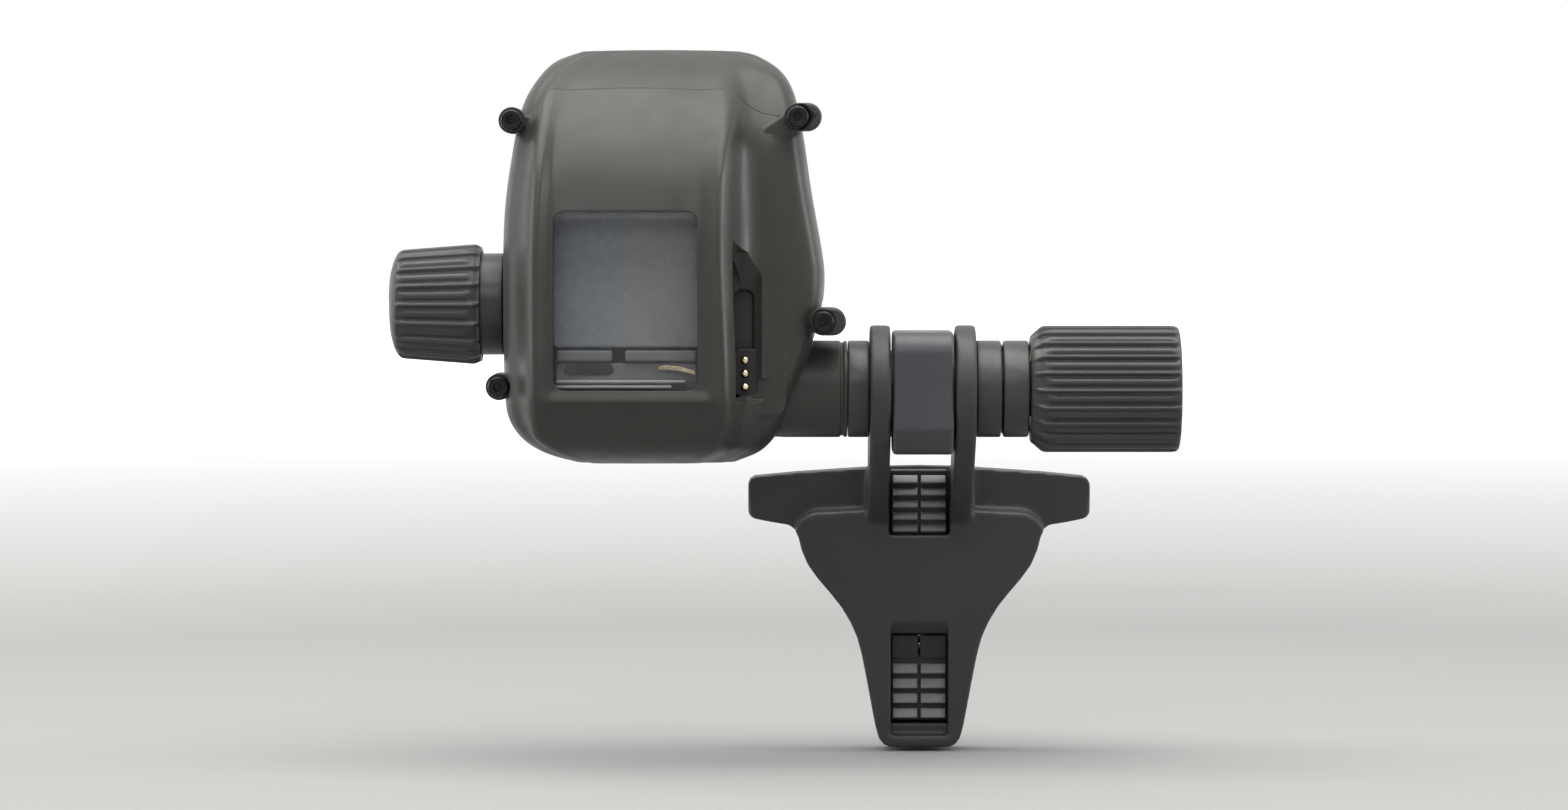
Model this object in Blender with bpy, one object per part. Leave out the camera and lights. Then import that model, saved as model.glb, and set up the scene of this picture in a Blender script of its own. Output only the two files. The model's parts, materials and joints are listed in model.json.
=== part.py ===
"""Head-up dive computer on its mask bracket.

Frame: +Z up, -Y towards a person who faces the diver, +X to that person's right. The origin is on the
bracket's flat back, which meets the mask. The computer stands flipped up at rest, and swings forward
about a horizontal axle to hang in front of the diver's right eye.

Lengths are written in millimetres, and become metres when a mesh is made.
Run it with: blender --background --python part.py
"""

import math

import bmesh
import bpy
from mathutils import Vector

MM = 0.001
GAP = 0.3  # between two pieces that touch on the real object

# Driving dimensions
AXLE = (-24.0, 31.0)  # (y, z) of the flip hinge's axis, which runs along X
AXLE_R = 5.5
RING_R = 7.0  # the housing's boss and every ring on the axle
WHEEL = (-21.5, 43.2)  # (y, z) of the push wheel's axis, along X
SHAFT_R = 3.0
SPLIT_Y = -31.5  # where the front cover meets the rear housing
WALL = 1.8
BRIDGE_FRONT_Y = -8.0
BAND_FRONT_Y = -5.2  # the bridge's upper band is set back
BRIDGE_BACK_Y = -1.8
SKIN_BACK_Y = -6.4  # the latches slide behind the bridge's front skin
SLOT = 4.5  # half the width of the latches' channels
PLATE_FRONT_Y = -1.5  # the back plate ends at y = 0, the mounting face
CHEEK_IN, CHEEK_OUT = 4.65, 7.65  # the fork's cheeks, from its middle
CHEEK_R = 9.2

# The housing's shape, as tables of (z, value)
LEFT_EDGE = ((20.5, -50), (21.6, -53.8), (23.5, -57), (26, -59), (28.5, -59.8), (35, -60.1), (45, -60.2),
             (56, -60), (67, -58.6), (72.4, -57.3), (76, -55.2), (78.5, -52.6), (79.8, -49))
RIGHT_EDGE = ((20.5, -27), (22, -23.5), (25, -20.8), (30, -18.6), (37, -16.2), (44, -14.4), (48, -14.2),
              (60, -16.2), (67, -17.2), (73.6, -18.6), (77, -20.6), (79.3, -24.2), (79.8, -26.5))
VISOR = ((20.5, -31), (21.2, -35), (22.5, -38.5), (25, -41.5), (28, -43), (31, -43.8), (36, -44), (50, -44),
         (55, -43.5), (60, -42.2), (64, -40.3), (68, -37.6), (72, -33.9), (75, -30.2), (77.5, -26.3),
         (79, -23.2), (79.8, -21.2))
LEFT_FLANK = ((20.5, -29), (22.5, -34), (25, -37.5), (30, -39.6), (50, -40.2), (60, -39), (66, -36.4),
              (70, -33.6), (74, -30), (77.5, -25.8), (79.8, -21))
RIGHT_FLANK = ((20.5, -28), (22.5, -31.5), (25, -33.6), (28, -34.8), (34, -35.4), (50, -35.6), (60, -35.2),
               (66, -34.2), (70, -32.8), (74, -30.2), (77.5, -25.8), (79.8, -20.9))
BACK = ((20.5, -14), (22, -11.6), (25, -10.2), (30, -10), (70, -10), (74, -11), (77.5, -13.6), (79.8, -17.5))
LEFT_RIDGE = ((20.5, -54), (30, -54.9), (50, -55), (72, -53.4), (79.8, -50))
RIGHT_RIDGE = ((20.5, -30), (30, -28.4), (50, -29.1), (60, -29.1), (72, -28.4), (79.8, -30))
RIDGE_HEIGHT = ((20.5, 0), (24, 0), (30, 1.4), (62, 1.4), (68, 0.9), (73, 0.3), (77, 0), (79.8, 0))
MIDDLE_Y = -19.4  # where the housing is widest
SLICES = (20.5, 21.2, 22.5, 25, 28, 32, 40, 48, 56, 61, 65, 69, 72, 75, 77.2, 78.8, 79.8)
CAVITY_SLICES = (22.6, 25, 29, 36, 52, 58, 63, 68, 72, 76.5)

WINDOW_LOW, WINDOW_HIGH = (-52.6, 31.3), (-32.2, 56.7)  # corners of the opening, (x, z)
SCREEN = (-48.4, 41.5), (-36.4, 50.5)  # corners of the display's opening, (x, z)
FRAME_Y = -41.0  # the back of the frame round the opening, where the window's seal sits

# Ears of the housing: the screw's (x, z), the ear's reach beyond it in x, its radius, and where it is rooted
EARS = (
    ((-58.8, 69.6), 0.0, 1.9, (-55.5, 68.6)),
    ((-60.7, 31.6), 0.0, 1.9, (-58.5, 31.6)),
    ((-18.0, 70.1), 1.4, 2.0, (-23.6, 66.4)),
    ((-14.4, 40.9), 1.3, 2.0, (-17.6, 40.9)),
)
EAR_FRONT_Y, EAR_BACK_Y = -35.0, -27.0
BOARD_FRONT_Y = -15.6
SENSOR = (-24.0, 60.0)  # (x, z) of the pressure sensor in the back wall

BRIDGE_SCREWS = ((-14.5, 12.6), (14.5, 12.6), (-7.3, -4.2), (7.3, -4.2))

FINISHES = {  # colour, roughness, metallic
    "shell": ((0.085, 0.083, 0.078), 0.42, 0.0),
    "bracket": ((0.06, 0.06, 0.063), 0.55, 0.0),
    "knuckle": ((0.13, 0.135, 0.145), 0.45, 0.0),
    "knob": ((0.06, 0.065, 0.064), 0.5, 0.0),
    "rubber": ((0.02, 0.02, 0.02), 0.8, 0.0),
    "steel": ((0.45, 0.45, 0.46), 0.3, 1.0),
    "alloy": ((0.5, 0.5, 0.51), 0.35, 1.0),
    "black_steel": ((0.05, 0.05, 0.05), 0.4, 1.0),
    "brass": ((0.6, 0.42, 0.16), 0.3, 1.0),
    "gold": ((0.85, 0.62, 0.25), 0.25, 1.0),
    "window": ((0.25, 0.26, 0.28), 0.08, 0.0),
    "lens": ((0.8, 0.82, 0.85), 0.03, 0.0),
    "board": ((0.02, 0.12, 0.05), 0.5, 0.0),
    "cell": ((0.1, 0.2, 0.35), 0.4, 0.0),
    "display": ((0.01, 0.01, 0.02), 0.15, 0.0),
}

pivot_places = {}


def clear_scene():
    for obj in list(bpy.data.objects):
        bpy.data.objects.remove(obj)


def material(finish):
    found = bpy.data.materials.get(finish)
    if found:
        return found
    colour, roughness, metallic = FINISHES[finish]
    made = bpy.data.materials.new(finish)
    made.use_nodes = True
    shader = made.node_tree.nodes["Principled BSDF"]
    shader.inputs["Base Color"].default_value = (*colour, 1)
    shader.inputs["Roughness"].default_value = roughness
    shader.inputs["Metallic"].default_value = metallic
    return made


def pivot(name, place, parent=None):
    """An empty on a joint's axis, for the pieces that move about it."""
    empty = bpy.data.objects.new(name, None)
    bpy.context.scene.collection.objects.link(empty)
    pivot_places[name] = Vector(place)
    start = pivot_places[parent.name] if parent else Vector()
    empty.parent = parent
    empty.location = (pivot_places[name] - start) * MM
    return empty


def solid(name, shape, finish="shell", hung_on=None):
    """An object from (points, faces) in the frame's millimetres, with its origin on the pivot it hangs on."""
    points, faces = shape
    start = pivot_places[hung_on.name] if hung_on else Vector()
    mesh = bpy.data.meshes.new(name)
    mesh.from_pydata([(Vector(p) - start) * MM for p in points], [], faces)
    work = bmesh.new()
    work.from_mesh(mesh)
    bmesh.ops.recalc_face_normals(work, faces=work.faces)
    work.to_mesh(mesh)
    work.free()
    mesh.shade_smooth()
    mesh.set_sharp_from_angle(angle=math.radians(35))
    mesh.materials.append(material(finish))
    obj = bpy.data.objects.new(name, mesh)
    bpy.context.scene.collection.objects.link(obj)
    obj.parent = hung_on
    return obj


def combine(target, operation, *tools):
    """Boolean of target with hidden helper solids."""
    for tool in tools:
        modifier = target.modifiers.new(tool.name, "BOOLEAN")
        modifier.operation = operation
        modifier.object = tool
        tool.hide_render = True
        tool.display_type = "WIRE"


# Shapes: each gives (points, faces)


def place(axis, along, a, b):
    """A point from its coordinate along an axis and the other two, in X, Y, Z order."""
    return {"X": (along, a, b), "Y": (a, along, b), "Z": (a, b, along)}[axis]


def loft(rings, closed=False):
    """Skins rings of equal length. An open row of rings is capped, and a closed one makes a hollow ring."""
    size = len(rings[0])
    points = [p for ring in rings for p in ring]
    faces = []
    for k in range(len(rings) if closed else len(rings) - 1):
        a, b = k * size, (k + 1) % len(rings) * size
        faces += [(a + i, a + (i + 1) % size, b + (i + 1) % size, b + i) for i in range(size)]
    if not closed:
        faces += [tuple(range(size))[::-1], tuple(range(len(points) - size, len(points)))]
    return points, faces


def circle(axis, along, radius, centre, sides, dip=0.0):
    """A ring of points about an axis. With a dip, every other point lies that much further in."""
    ring = []
    for i in range(sides):
        turn, reach = 2 * math.pi * i / sides, radius - dip * (i % 2)
        a, b = centre[0] + reach * math.cos(turn), centre[1] + reach * math.sin(turn)
        ring.append(place(axis, along, a, b))
    return ring


def turned(axis, centre, profile, sides=24, hollow=False):
    """A turned shape. Its profile's points are (along, radius) or (along, radius, dip)."""
    return loft([circle(axis, p[0], p[1], centre, sides, *p[2:]) for p in profile], hollow)


def bushing(axis, centre, start, end, inner, outer, sides=24):
    profile = ((start, inner), (start, outer), (end, outer), (end, inner))
    return turned(axis, centre, profile, sides, hollow=True)


def torus(axis, centre, along, major, minor, sides=20, round_sides=6):
    turns = [2 * math.pi * k / round_sides for k in range(round_sides)]
    profile = [(along + minor * math.cos(t), major + minor * math.sin(t)) for t in turns]
    return turned(axis, centre, profile, sides, hollow=True)


def prism(axis, outline, low, high):
    """An outline, given in the other two coordinates, drawn out along an axis."""
    return loft([[place(axis, along, a, b) for a, b in outline] for along in (low, high)])


def box(low, high):
    outline = ((low[0], low[1]), (high[0], low[1]), (high[0], high[1]), (low[0], high[1]))
    return prism("Z", outline, low[2], high[2])


def arc(centre, radius, start, end, steps):
    """Points on a circle, from one angle to another in degrees."""
    turns = [math.radians(start + (end - start) * k / steps) for k in range(steps + 1)]
    return [(centre[0] + radius * math.cos(t), centre[1] + radius * math.sin(t)) for t in turns]


def rounded_box(low, high, radius, steps=4):
    """A rectangle with round corners, from its two corners."""
    (x0, z0), (x1, z1) = low, high
    corners = ((x1, z1, 0), (x0, z1, 90), (x0, z0, 180), (x1, z0, 270))
    outline = []
    for x, z, start in corners:
        centre = (x - radius if x == x1 else x + radius, z - radius if z == z1 else z + radius)
        outline += arc(centre, radius, start, start + 90, steps)
    return outline


def capsule(start, end, radius, steps=4):
    """A slot outline with its round ends about two points."""
    heading = math.degrees(math.atan2(end[1] - start[1], end[0] - start[0]))
    far = arc(end, radius, heading - 90, heading + 90, steps)
    near = arc(start, radius, heading + 90, heading + 270, steps)
    return far + near if start != end else far[:-1] + near[:-1]


def grown(low, high, by):
    return (low[0] - by, low[1] - by), (high[0] + by, high[1] + by)


def hex_socket_screw(axis, centre, top, head_end, tip, head_r, shank_r):
    """A cap screw with a hexagonal socket. It points from top towards tip."""
    down = 1 if tip > top else -1
    socket_r, socket_depth, edge = head_r * 0.5, abs(head_end - top) * 0.7, head_r * 0.12
    profile = (
        (top + down * socket_depth, socket_r),
        (top, socket_r),
        (top, head_r - edge),
        (top + down * edge, head_r),
        (head_end, head_r),
        (head_end, shank_r),
        (tip, shank_r),
    )
    rings = [circle(axis, along, r, centre, 6 if r == socket_r else 12) for along, r in profile]
    doubled = []
    for ring in rings:
        if len(ring) == 6:  # a hexagon gets a point in the middle of each side, to match the round rings
            ring = [p for i, a in enumerate(ring) for p in (a, middle(a, ring[(i + 1) % 6]))]
        doubled.append(ring)
    return loft(doubled)


def middle(a, b):
    return tuple((p + q) / 2 for p, q in zip(a, b))


def spring(name, axis, centre, start, end, coil_r, wire_r, turns, finish, hung_on=None):
    """A helical spring, as a bevelled curve along its wire's middle."""
    steps = turns * 8
    offset = pivot_places[hung_on.name] if hung_on else Vector()
    curve = bpy.data.curves.new(name, "CURVE")
    curve.dimensions = "3D"
    curve.bevel_depth = wire_r * MM
    curve.bevel_resolution = 1
    curve.use_fill_caps = True
    wire = curve.splines.new("POLY")
    wire.points.add(steps)
    for k, point in enumerate(wire.points):
        turn = 2 * math.pi * turns * k / steps
        along = start + (end - start) * k / steps
        here = place(axis, along, centre[0] + coil_r * math.cos(turn), centre[1] + coil_r * math.sin(turn))
        point.co = (*((Vector(here) - offset) * MM), 1)
    curve.materials.append(material(finish))
    obj = bpy.data.objects.new(name, curve)
    bpy.context.scene.collection.objects.link(obj)
    obj.parent = hung_on
    return obj


# The housing


def read(table, z):
    """A table's value at height z, on a smooth curve through its points."""
    if z <= table[0][0]:
        return table[0][1]
    if z >= table[-1][0]:
        return table[-1][1]
    k = max(i for i, row in enumerate(table) if row[0] <= z)
    (z0, v0), (z1, v1) = table[k], table[k + 1]
    before, after = table[max(k - 1, 0)], table[min(k + 2, len(table) - 1)]
    slope0 = (v1 - before[1]) / (z1 - before[0])
    slope1 = (after[1] - v0) / (after[0] - z0)
    step = (v1 - v0) / (z1 - z0)
    slope0, slope1 = limited(slope0, step), limited(slope1, step)
    t, h = (z - z0) / (z1 - z0), z1 - z0
    return (
        (2 * t**3 - 3 * t**2 + 1) * v0
        + (t**3 - 2 * t**2 + t) * h * slope0
        + (3 * t**2 - 2 * t**3) * v1
        + (t**3 - t**2) * h * slope1
    )


def limited(slope, step):
    """Keeps a curve from overshooting where its table levels off."""
    if slope * step <= 0:
        return 0.0
    return math.copysign(min(abs(slope), 3 * abs(step)), step)


def mix(a, b, share):
    return a + (b - a) * share


def outer_slice(z):
    """The housing's outside at height z, from the left edge round the front and back."""
    left, right = read(LEFT_EDGE, z), read(RIGHT_EDGE, z)
    visor, back = read(VISOR, z), read(BACK, z)
    flank_l, flank_r = max(read(LEFT_FLANK, z), visor), max(read(RIGHT_FLANK, z), visor)
    ridge_l, ridge_r = max(read(LEFT_RIDGE, z), left + 3.7), min(read(RIGHT_RIDGE, z), right - 7)
    height = read(RIDGE_HEIGHT, z)
    crest = visor - height
    foot = ridge_r + 5.0
    row = [
        (left, MIDDLE_Y),
        (left, mix(MIDDLE_Y, flank_l, 0.6)),
        (left + 0.9, mix(MIDDLE_Y, flank_l, 0.88)),
        (left + 2.4, flank_l),
        (ridge_l - 1.0, mix(flank_l, crest, 0.85)),
        (ridge_l, crest),
        (ridge_l + 1.1, visor - height * 0.5),
        (ridge_l + 2.2, visor),
        (mix(ridge_l, ridge_r, 0.35), visor - 0.3),
        (mix(ridge_l, ridge_r, 0.65), visor - 0.3),
        (ridge_r - 3.0, visor),
        (ridge_r - 1.5, visor - height * 0.5),
        (ridge_r, crest),
        (ridge_r + 1.3, mix(crest, flank_r, 0.2)),
        (ridge_r + 2.8, mix(crest, flank_r, 0.75)),
        (foot, flank_r),
        (mix(foot, right - 1.4, 0.55), mix(flank_r, MIDDLE_Y, 0.05)),
        (right - 1.4, mix(MIDDLE_Y, flank_r, 0.88)),
        (right - 0.2, mix(MIDDLE_Y, flank_r, 0.68)),
        (right, MIDDLE_Y),
        (right - 0.1, mix(MIDDLE_Y, back, 0.6)),
        (right - 1.2, mix(MIDDLE_Y, back, 0.9)),
        (right - 4.0, back),
        (left + 4.0, back),
        (left + 1.2, mix(MIDDLE_Y, back, 0.9)),
        (left + 0.1, mix(MIDDLE_Y, back, 0.6)),
    ]
    return [(x, y, z) for x, y in row]


def inner_slice(z):
    """The cavity's outline at height z. It is a wall's thickness inside the housing, without the ridges."""
    left, right = read(LEFT_EDGE, z) + WALL, read(RIGHT_EDGE, z) - WALL
    visor, back = read(VISOR, z) + WALL, read(BACK, z) - WALL
    flank_l = max(read(LEFT_FLANK, z) + WALL, visor)
    flank_r = max(read(RIGHT_FLANK, z) + WALL, visor)
    ridge_l = max(read(LEFT_RIDGE, z), left + 1.9) + 1.2
    ridge_r = min(read(RIGHT_RIDGE, z), right - 5.2) - 1.2
    row = [
        (left, MIDDLE_Y),
        (left, mix(MIDDLE_Y, flank_l, 0.7)),
        (left + 1.6, flank_l),
        (ridge_l, visor),
        (ridge_r, visor),
        (ridge_r + 4.2, flank_r),
        (right - 1.2, mix(flank_r, MIDDLE_Y, 0.1)),
        (right, mix(MIDDLE_Y, flank_r, 0.55)),
        (right, MIDDLE_Y),
        (right - 0.6, mix(MIDDLE_Y, back, 0.8)),
        (right - 3.0, back),
        (left + 3.0, back),
        (left + 0.6, mix(MIDDLE_Y, back, 0.8)),
    ]
    return [(x, y, z) for x, y in row]


def housing_shells():
    """The front cover and the rear housing: one hollow body, parted at SPLIT_Y."""
    outside = loft([outer_slice(z) for z in SLICES])
    cavity = solid("cavity", loft([inner_slice(z) for z in CAVITY_SLICES]))
    front_half = solid("front_half", box((-80, -60, 10), (0, SPLIT_Y - GAP, 90)))
    rear_half = solid("rear_half", box((-80, SPLIT_Y + GAP, 10), (0, 0, 90)))
    seam = solid("seam", box((-80, SPLIT_Y - 0.15, 10), (0, SPLIT_Y + 0.15, 90)))

    front = solid("front_cover", outside, "shell", flip)
    rear = solid("rear_housing", outside, "shell", flip)
    seal = solid("housing_seal", outside, "rubber", flip)
    for part in (front, rear, seal):
        combine(part, "DIFFERENCE", cavity)
    for k, ear in enumerate(EARS, 1):
        add_ear(k, *ear, front, rear, seal)
    for part, half in ((front, front_half), (rear, rear_half), (seal, seam)):
        combine(part, "INTERSECT", half)
    open_window(front)
    open_contact_pocket(front)
    open_rear(rear)


def add_ear(k, screw, reach, radius, root, front, rear, seal):
    """A screw ear that runs through both shells, on a thinner web."""
    outline = capsule(screw, (screw[0] + reach, screw[1]), radius)
    ear = solid(f"ear_{k}", prism("Y", outline, EAR_FRONT_Y, EAR_BACK_Y))
    web_outline = capsule(root, screw, radius * 0.75)
    web = solid(f"web_{k}", prism("Y", web_outline, EAR_FRONT_Y + 2.0, EAR_BACK_Y + 1))
    head_room = solid(f"head_room_{k}", turned("Y", screw, ((-50, 1.75), (EAR_FRONT_Y, 1.75)), 12))
    shank_room = solid(f"shank_room_{k}", turned("Y", screw, ((-36, 1.05), (-27.6, 1.05)), 8))
    for part in (front, rear):
        combine(part, "UNION", ear, web)
        combine(part, "DIFFERENCE", shank_room)
    combine(front, "DIFFERENCE", head_room)
    combine(seal, "DIFFERENCE", shank_room)
    shape = hex_socket_screw("Y", screw, -36.7, EAR_FRONT_Y - 0.15, -28.0, 1.5, 0.9)
    solid(f"cover_screw_{k}", shape, "black_steel", flip)


def open_window(front):
    """The window's opening, with a flat frame behind it for the seal."""
    frame = prism("Y", rounded_box(*grown(WINDOW_LOW, WINDOW_HIGH, 2.0), 2.6), -42.2, FRAME_Y)
    opening = prism("Y", rounded_box(WINDOW_LOW, WINDOW_HIGH, 2.2), -50, -38)
    combine(front, "UNION", solid("window_frame", frame))
    combine(front, "DIFFERENCE", solid("window_opening", opening))


def open_contact_pocket(front):
    """A pocket beside the window, with a thicker wall behind it, for the charging contacts."""
    backing = prism("Y", rounded_box((-29.0, 27.6), (-19.8, 52.4), 1.5), -34.6, SPLIT_Y - GAP)
    pocket = prism("Y", rounded_box((-27.2, 29.4), (-21.4, 50.6), 1.6), -39.0, -33.2)
    combine(front, "UNION", solid("pocket_backing", backing))
    combine(front, "DIFFERENCE", solid("contact_pocket", pocket))


def open_rear(rear):
    """The axle's boss, and the holes for the axle, its pin, the wheel's bush and the pressure sensor."""
    boss = solid("axle_boss", turned("X", AXLE, ((-30, RING_R), (-11.4, RING_R), (-10.9, RING_R - 0.4)), 24))
    axle_room = solid("axle_room", turned("X", AXLE, ((-27.3, AXLE_R + 0.1), (-5, AXLE_R + 0.1)), 24))
    pin_room = solid("pin_room", turned("Z", (-21.0, AXLE[0]), ((20, 1.1), (36.9, 1.1)), 12))
    bush_room = solid("bush_room", turned("X", WHEEL, ((-70, 4.6), (-55, 4.6)), 24))
    sensor_room = solid("sensor_room", turned("Y", SENSOR, ((-20, 2.0), (-5, 2.0)), 16))
    cover_room = solid("cover_room", turned("Y", SENSOR, ((-11.0, 4.6), (-5, 4.6)), 24))
    combine(rear, "UNION", boss)
    combine(rear, "DIFFERENCE", axle_room, pin_room, bush_room, sensor_room, cover_room)


def eye_window():
    low, high = grown(WINDOW_LOW, WINDOW_HIGH, -GAP)
    flange_low, flange_high = grown(WINDOW_LOW, WINDOW_HIGH, 1.4)
    seal_back = FRAME_Y + GAP + 0.6
    flange_front, flange_back = seal_back + GAP, seal_back + GAP + 0.9
    window = [
        [(x, y, z) for x, z in rounded_box(lo, hi, radius)]
        for y, lo, hi, radius in (
            (-43.9, low, high, 2.0),
            (flange_front, low, high, 2.0),
            (flange_front, flange_low, flange_high, 2.6),
            (flange_back, flange_low, flange_high, 2.6),
        )
    ]
    solid("eye_window", loft(window), "window", flip)
    seal = [
        [(x, y, z) for x, z in rounded_box(*grown(WINDOW_LOW, WINDOW_HIGH, by), 2.2)]
        for y, by in ((FRAME_Y + GAP, 0.3), (FRAME_Y + GAP, 1.3), (seal_back, 1.3), (seal_back, 0.3))
    ]
    solid("window_seal", loft(seal, closed=True), "rubber", flip)


def optics():
    """Behind the window: a prism over a shelf, with the screen behind it and a light sensor under it."""
    outline = rounded_box((-52.8, 30.2), (-32.0, 57.0), 1.2, 2)
    plate = solid("display_carrier", prism("Y", outline, -31, -29.4), "knob", flip)
    shelf = solid("shelf", box((-52.2, -38.3, 35.3), (-32.6, -30.2, 36.9)))
    chin = solid("chin_bar", box((-52.2, -37.0, 30.6), (-32.6, -30.2, 33.0)))
    screen_room = solid("screen_room", prism("Y", rounded_box(*SCREEN, 0.5, 2), -35, -25))
    combine(plate, "UNION", shelf, chin)
    combine(plate, "DIFFERENCE", screen_room)
    lens = [
        [(x, y, z) for x, z in rounded_box(*grown((-52.0, 37.3), (-32.8, 56.6), -inset), 0.8, 2)]
        for y, inset in ((-38.0, 0.6), (-37.4, 0.0), (-31.6, 0.0), (-31.3, 0.3))
    ]
    solid("eyepiece_prism", loft(lens), "lens", flip)
    screen = rounded_box(*grown(*SCREEN, 1.2), 0.6, 2)
    solid("display_module", prism("Y", screen, -29.1, -27.4), "display", flip)
    sensor = capsule((-50.6, 34.15), (-45.0, 34.15), 0.8)
    solid("light_sensor", prism("Y", sensor, -37.6, -31.3), "display", flip)
    solid("sensor_flex", box((-38.4, -37.6, 33.3), (-34.4, -31.3, 33.7)), "gold", flip)


def electronics():
    board = prism("Y", rounded_box((-55, 27.5), (-31.2, 73), 1.5, 3), BOARD_FRONT_Y, BOARD_FRONT_Y + 1.2)
    solid("main_board", board, "board", flip)
    cell = turned("X", (-26.6, 66), ((-54, 5.0), (-53.5, 5.5), (-28.5, 5.5), (-28, 5.0)), 20)
    solid("battery_cell", cell, "cell", flip)
    sensor = turned("Y", SENSOR, ((-16.5, 3.2), (-13.4, 3.2), (-13.4, 1.7), (-11.4, 1.7)), 20)
    solid("pressure_sensor", sensor, "steel", flip)
    disc = turned("Y", SENSOR, ((-10.8, 4.3), (-10.2, 4.3), (-10.0, 4.1)), 24)
    cover = solid("sensor_cover", disc, "shell", flip)
    for k in range(5):
        turn = 2 * math.pi * k / 5
        at = (SENSOR[0] + 2.2 * math.cos(turn), SENSOR[1] + 2.2 * math.sin(turn))
        combine(cover, "DIFFERENCE", solid(f"sensor_hole_{k}", turned("Y", at, ((-12, 0.5), (-8, 0.5)), 8)))


def contacts():
    block_outline = rounded_box((-27.0, 30), (-23.4, 37), 0.6, 2)
    block = solid("contact_block", prism("Y", block_outline, -34.6, -33.4), "knob", flip)
    for k in range(3):
        at = (-25.6, 31.6 + 1.9 * k)
        hole = turned("Y", at, ((-36, 0.6), (-33, 0.6)), 8)
        combine(block, "DIFFERENCE", solid(f"contact_hole_{k}", hole))
        pin = turned("Y", at, ((-35.2, 0.25), (-35.0, 0.5), (-33.5, 0.5)), 8)
        solid(f"contact_pin_{k + 1}", pin, "gold", flip)


def axle_and_rings():
    shaft = ((-27.0, AXLE_R), (15.2, AXLE_R), (15.2, 4.0), (27.0, 4.0), (27.0, 1.2), (20.0, 1.2))
    axle = solid("swing_axle", turned("X", AXLE, shaft, 24), "alloy", flip)
    pin_hole = turned("Z", (-21.0, AXLE[0]), ((20, 1.1), (36.9, 1.1)), 12)
    combine(axle, "DIFFERENCE", solid("axle_pin_hole", pin_hole))
    solid("axle_pin", turned("Z", (-21.0, AXLE[0]), ((24.5, 1.0), (36.5, 1.0)), 12), "steel", flip)
    solid("axle_stop_screw", hex_socket_screw("X", AXLE, 29.0, 27.2, 20.4, 4.8, 1.1), "black_steel", flip)
    solid("wave_washer", bushing("X", AXLE, 11.3, 11.55, AXLE_R + 0.15, 6.5), "steel", flip)
    solid("inner_friction_ring", bushing("X", AXLE, -10.6, -CHEEK_OUT - GAP, AXLE_R + 0.15, RING_R), "knob")
    solid("outer_friction_ring", bushing("X", AXLE, CHEEK_OUT + GAP, 11.05, AXLE_R + 0.15, RING_R), "knob")
    solid("friction_bush", bushing("X", AXLE, -4.3, 4.3, AXLE_R + 0.1, 6.6), "rubber")


def lock_knob():
    solid("pressure_ring", bushing("X", AXLE, 11.8, 15.0, AXLE_R + 0.15, RING_R), "knob", knob_slide)
    outer_r, flute = 9.2, 0.55
    shell = (
        (24.3, 4.4), (24.3, 6.35), (15.5, 6.35), (15.5, 7.9), (17.2, outer_r, flute), (36.3, outer_r, flute),
        (37.1, 8.4), (37.1, 6.9), (26.0, 6.9), (26.0, 4.4),
    )
    solid("lock_knob", turned("X", AXLE, shell, 44, hollow=True), "knob", knob_turn)
    solid("knob_insert", bushing("X", AXLE, 15.7, 24.0, 4.1, 6.2, 24), "brass", knob_turn)
    solid("knob_end_cap", turned("X", AXLE, ((35.6, 6.6), (36.7, 6.6), (37.0, 6.2)), 24), "knob", knob_turn)


def push_wheel():
    skirt_r, flute = 8.8, 0.5
    shell = (
        (-73.4, SHAFT_R + 0.15), (-68.3, SHAFT_R + 0.15), (-68.3, 7.75), (-63.7, 7.75), (-63.7, 8.3),
        (-64.3, skirt_r, flute), (-75.4, 7.9, flute), (-76.4, 6.4), (-77.0, 4.2), (-77.1, 2.2), (-75.6, 2.2),
        (-75.6, 1.0), (-73.4, 1.0),
    )
    solid("push_wheel", turned("X", WHEEL, shell, 36, hollow=True), "knob", wheel_turn)
    screw = hex_socket_screw("X", WHEEL, -77.0, -75.7, -69.5, 1.8, 0.85)
    solid("wheel_screw", screw, "black_steel", wheel_turn)
    groove_r = 2.25
    shaft = [(-69.4, 0.95), (-73.2, 0.95), (-73.2, SHAFT_R)]
    for x in O_RINGS:
        shaft += [(x - 0.5, SHAFT_R), (x - 0.5, groove_r), (x + 0.5, groove_r), (x + 0.5, SHAFT_R)]
    shaft += [(-56.0, SHAFT_R), (-56.0, 1.9), (-52.4, 1.9)]
    solid("wheel_shaft", turned("X", WHEEL, shaft, 20), "steel", wheel_turn)
    for k, x in enumerate(O_RINGS, 1):
        solid(f"wheel_o_ring_{k}", torus("X", WHEEL, x, 2.68, 0.38), "rubber", wheel_turn)
    solid("shaft_clip", bushing("X", WHEEL, -55.7, -55.2, 2.0, 4.2, 20), "steel", wheel_turn)


def wheel_bearing():
    bore_r = SHAFT_R + 0.1
    bush = ((-66.5, bore_r), (-66.5, 7.35), (-60.5, 7.35), (-60.5, 4.4), (-56.0, 4.4), (-56.0, bore_r))
    solid("wheel_bush", turned("X", WHEEL, bush, 24, hollow=True), "knob", flip)
    solid("bush_nut", bushing("X", WHEEL, -58.0, -56.4, 4.55, 5.8, 18), "brass", flip)
    solid("spring_seat", bushing("X", WHEEL, -54.9, -54.4, 2.05, 4.2, 20), "steel", wheel_slide)
    spring("wheel_return_spring", "X", WHEEL, -53.9, -50.9, 3.3, 0.25, 3, "steel", flip)
    y, z = WHEEL
    switch = box((-50.4, y - 3.4, z - 3.4), (-45.5, BOARD_FRONT_Y - GAP, z + 3.4))
    solid("push_switch", switch, "knob", flip)


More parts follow.
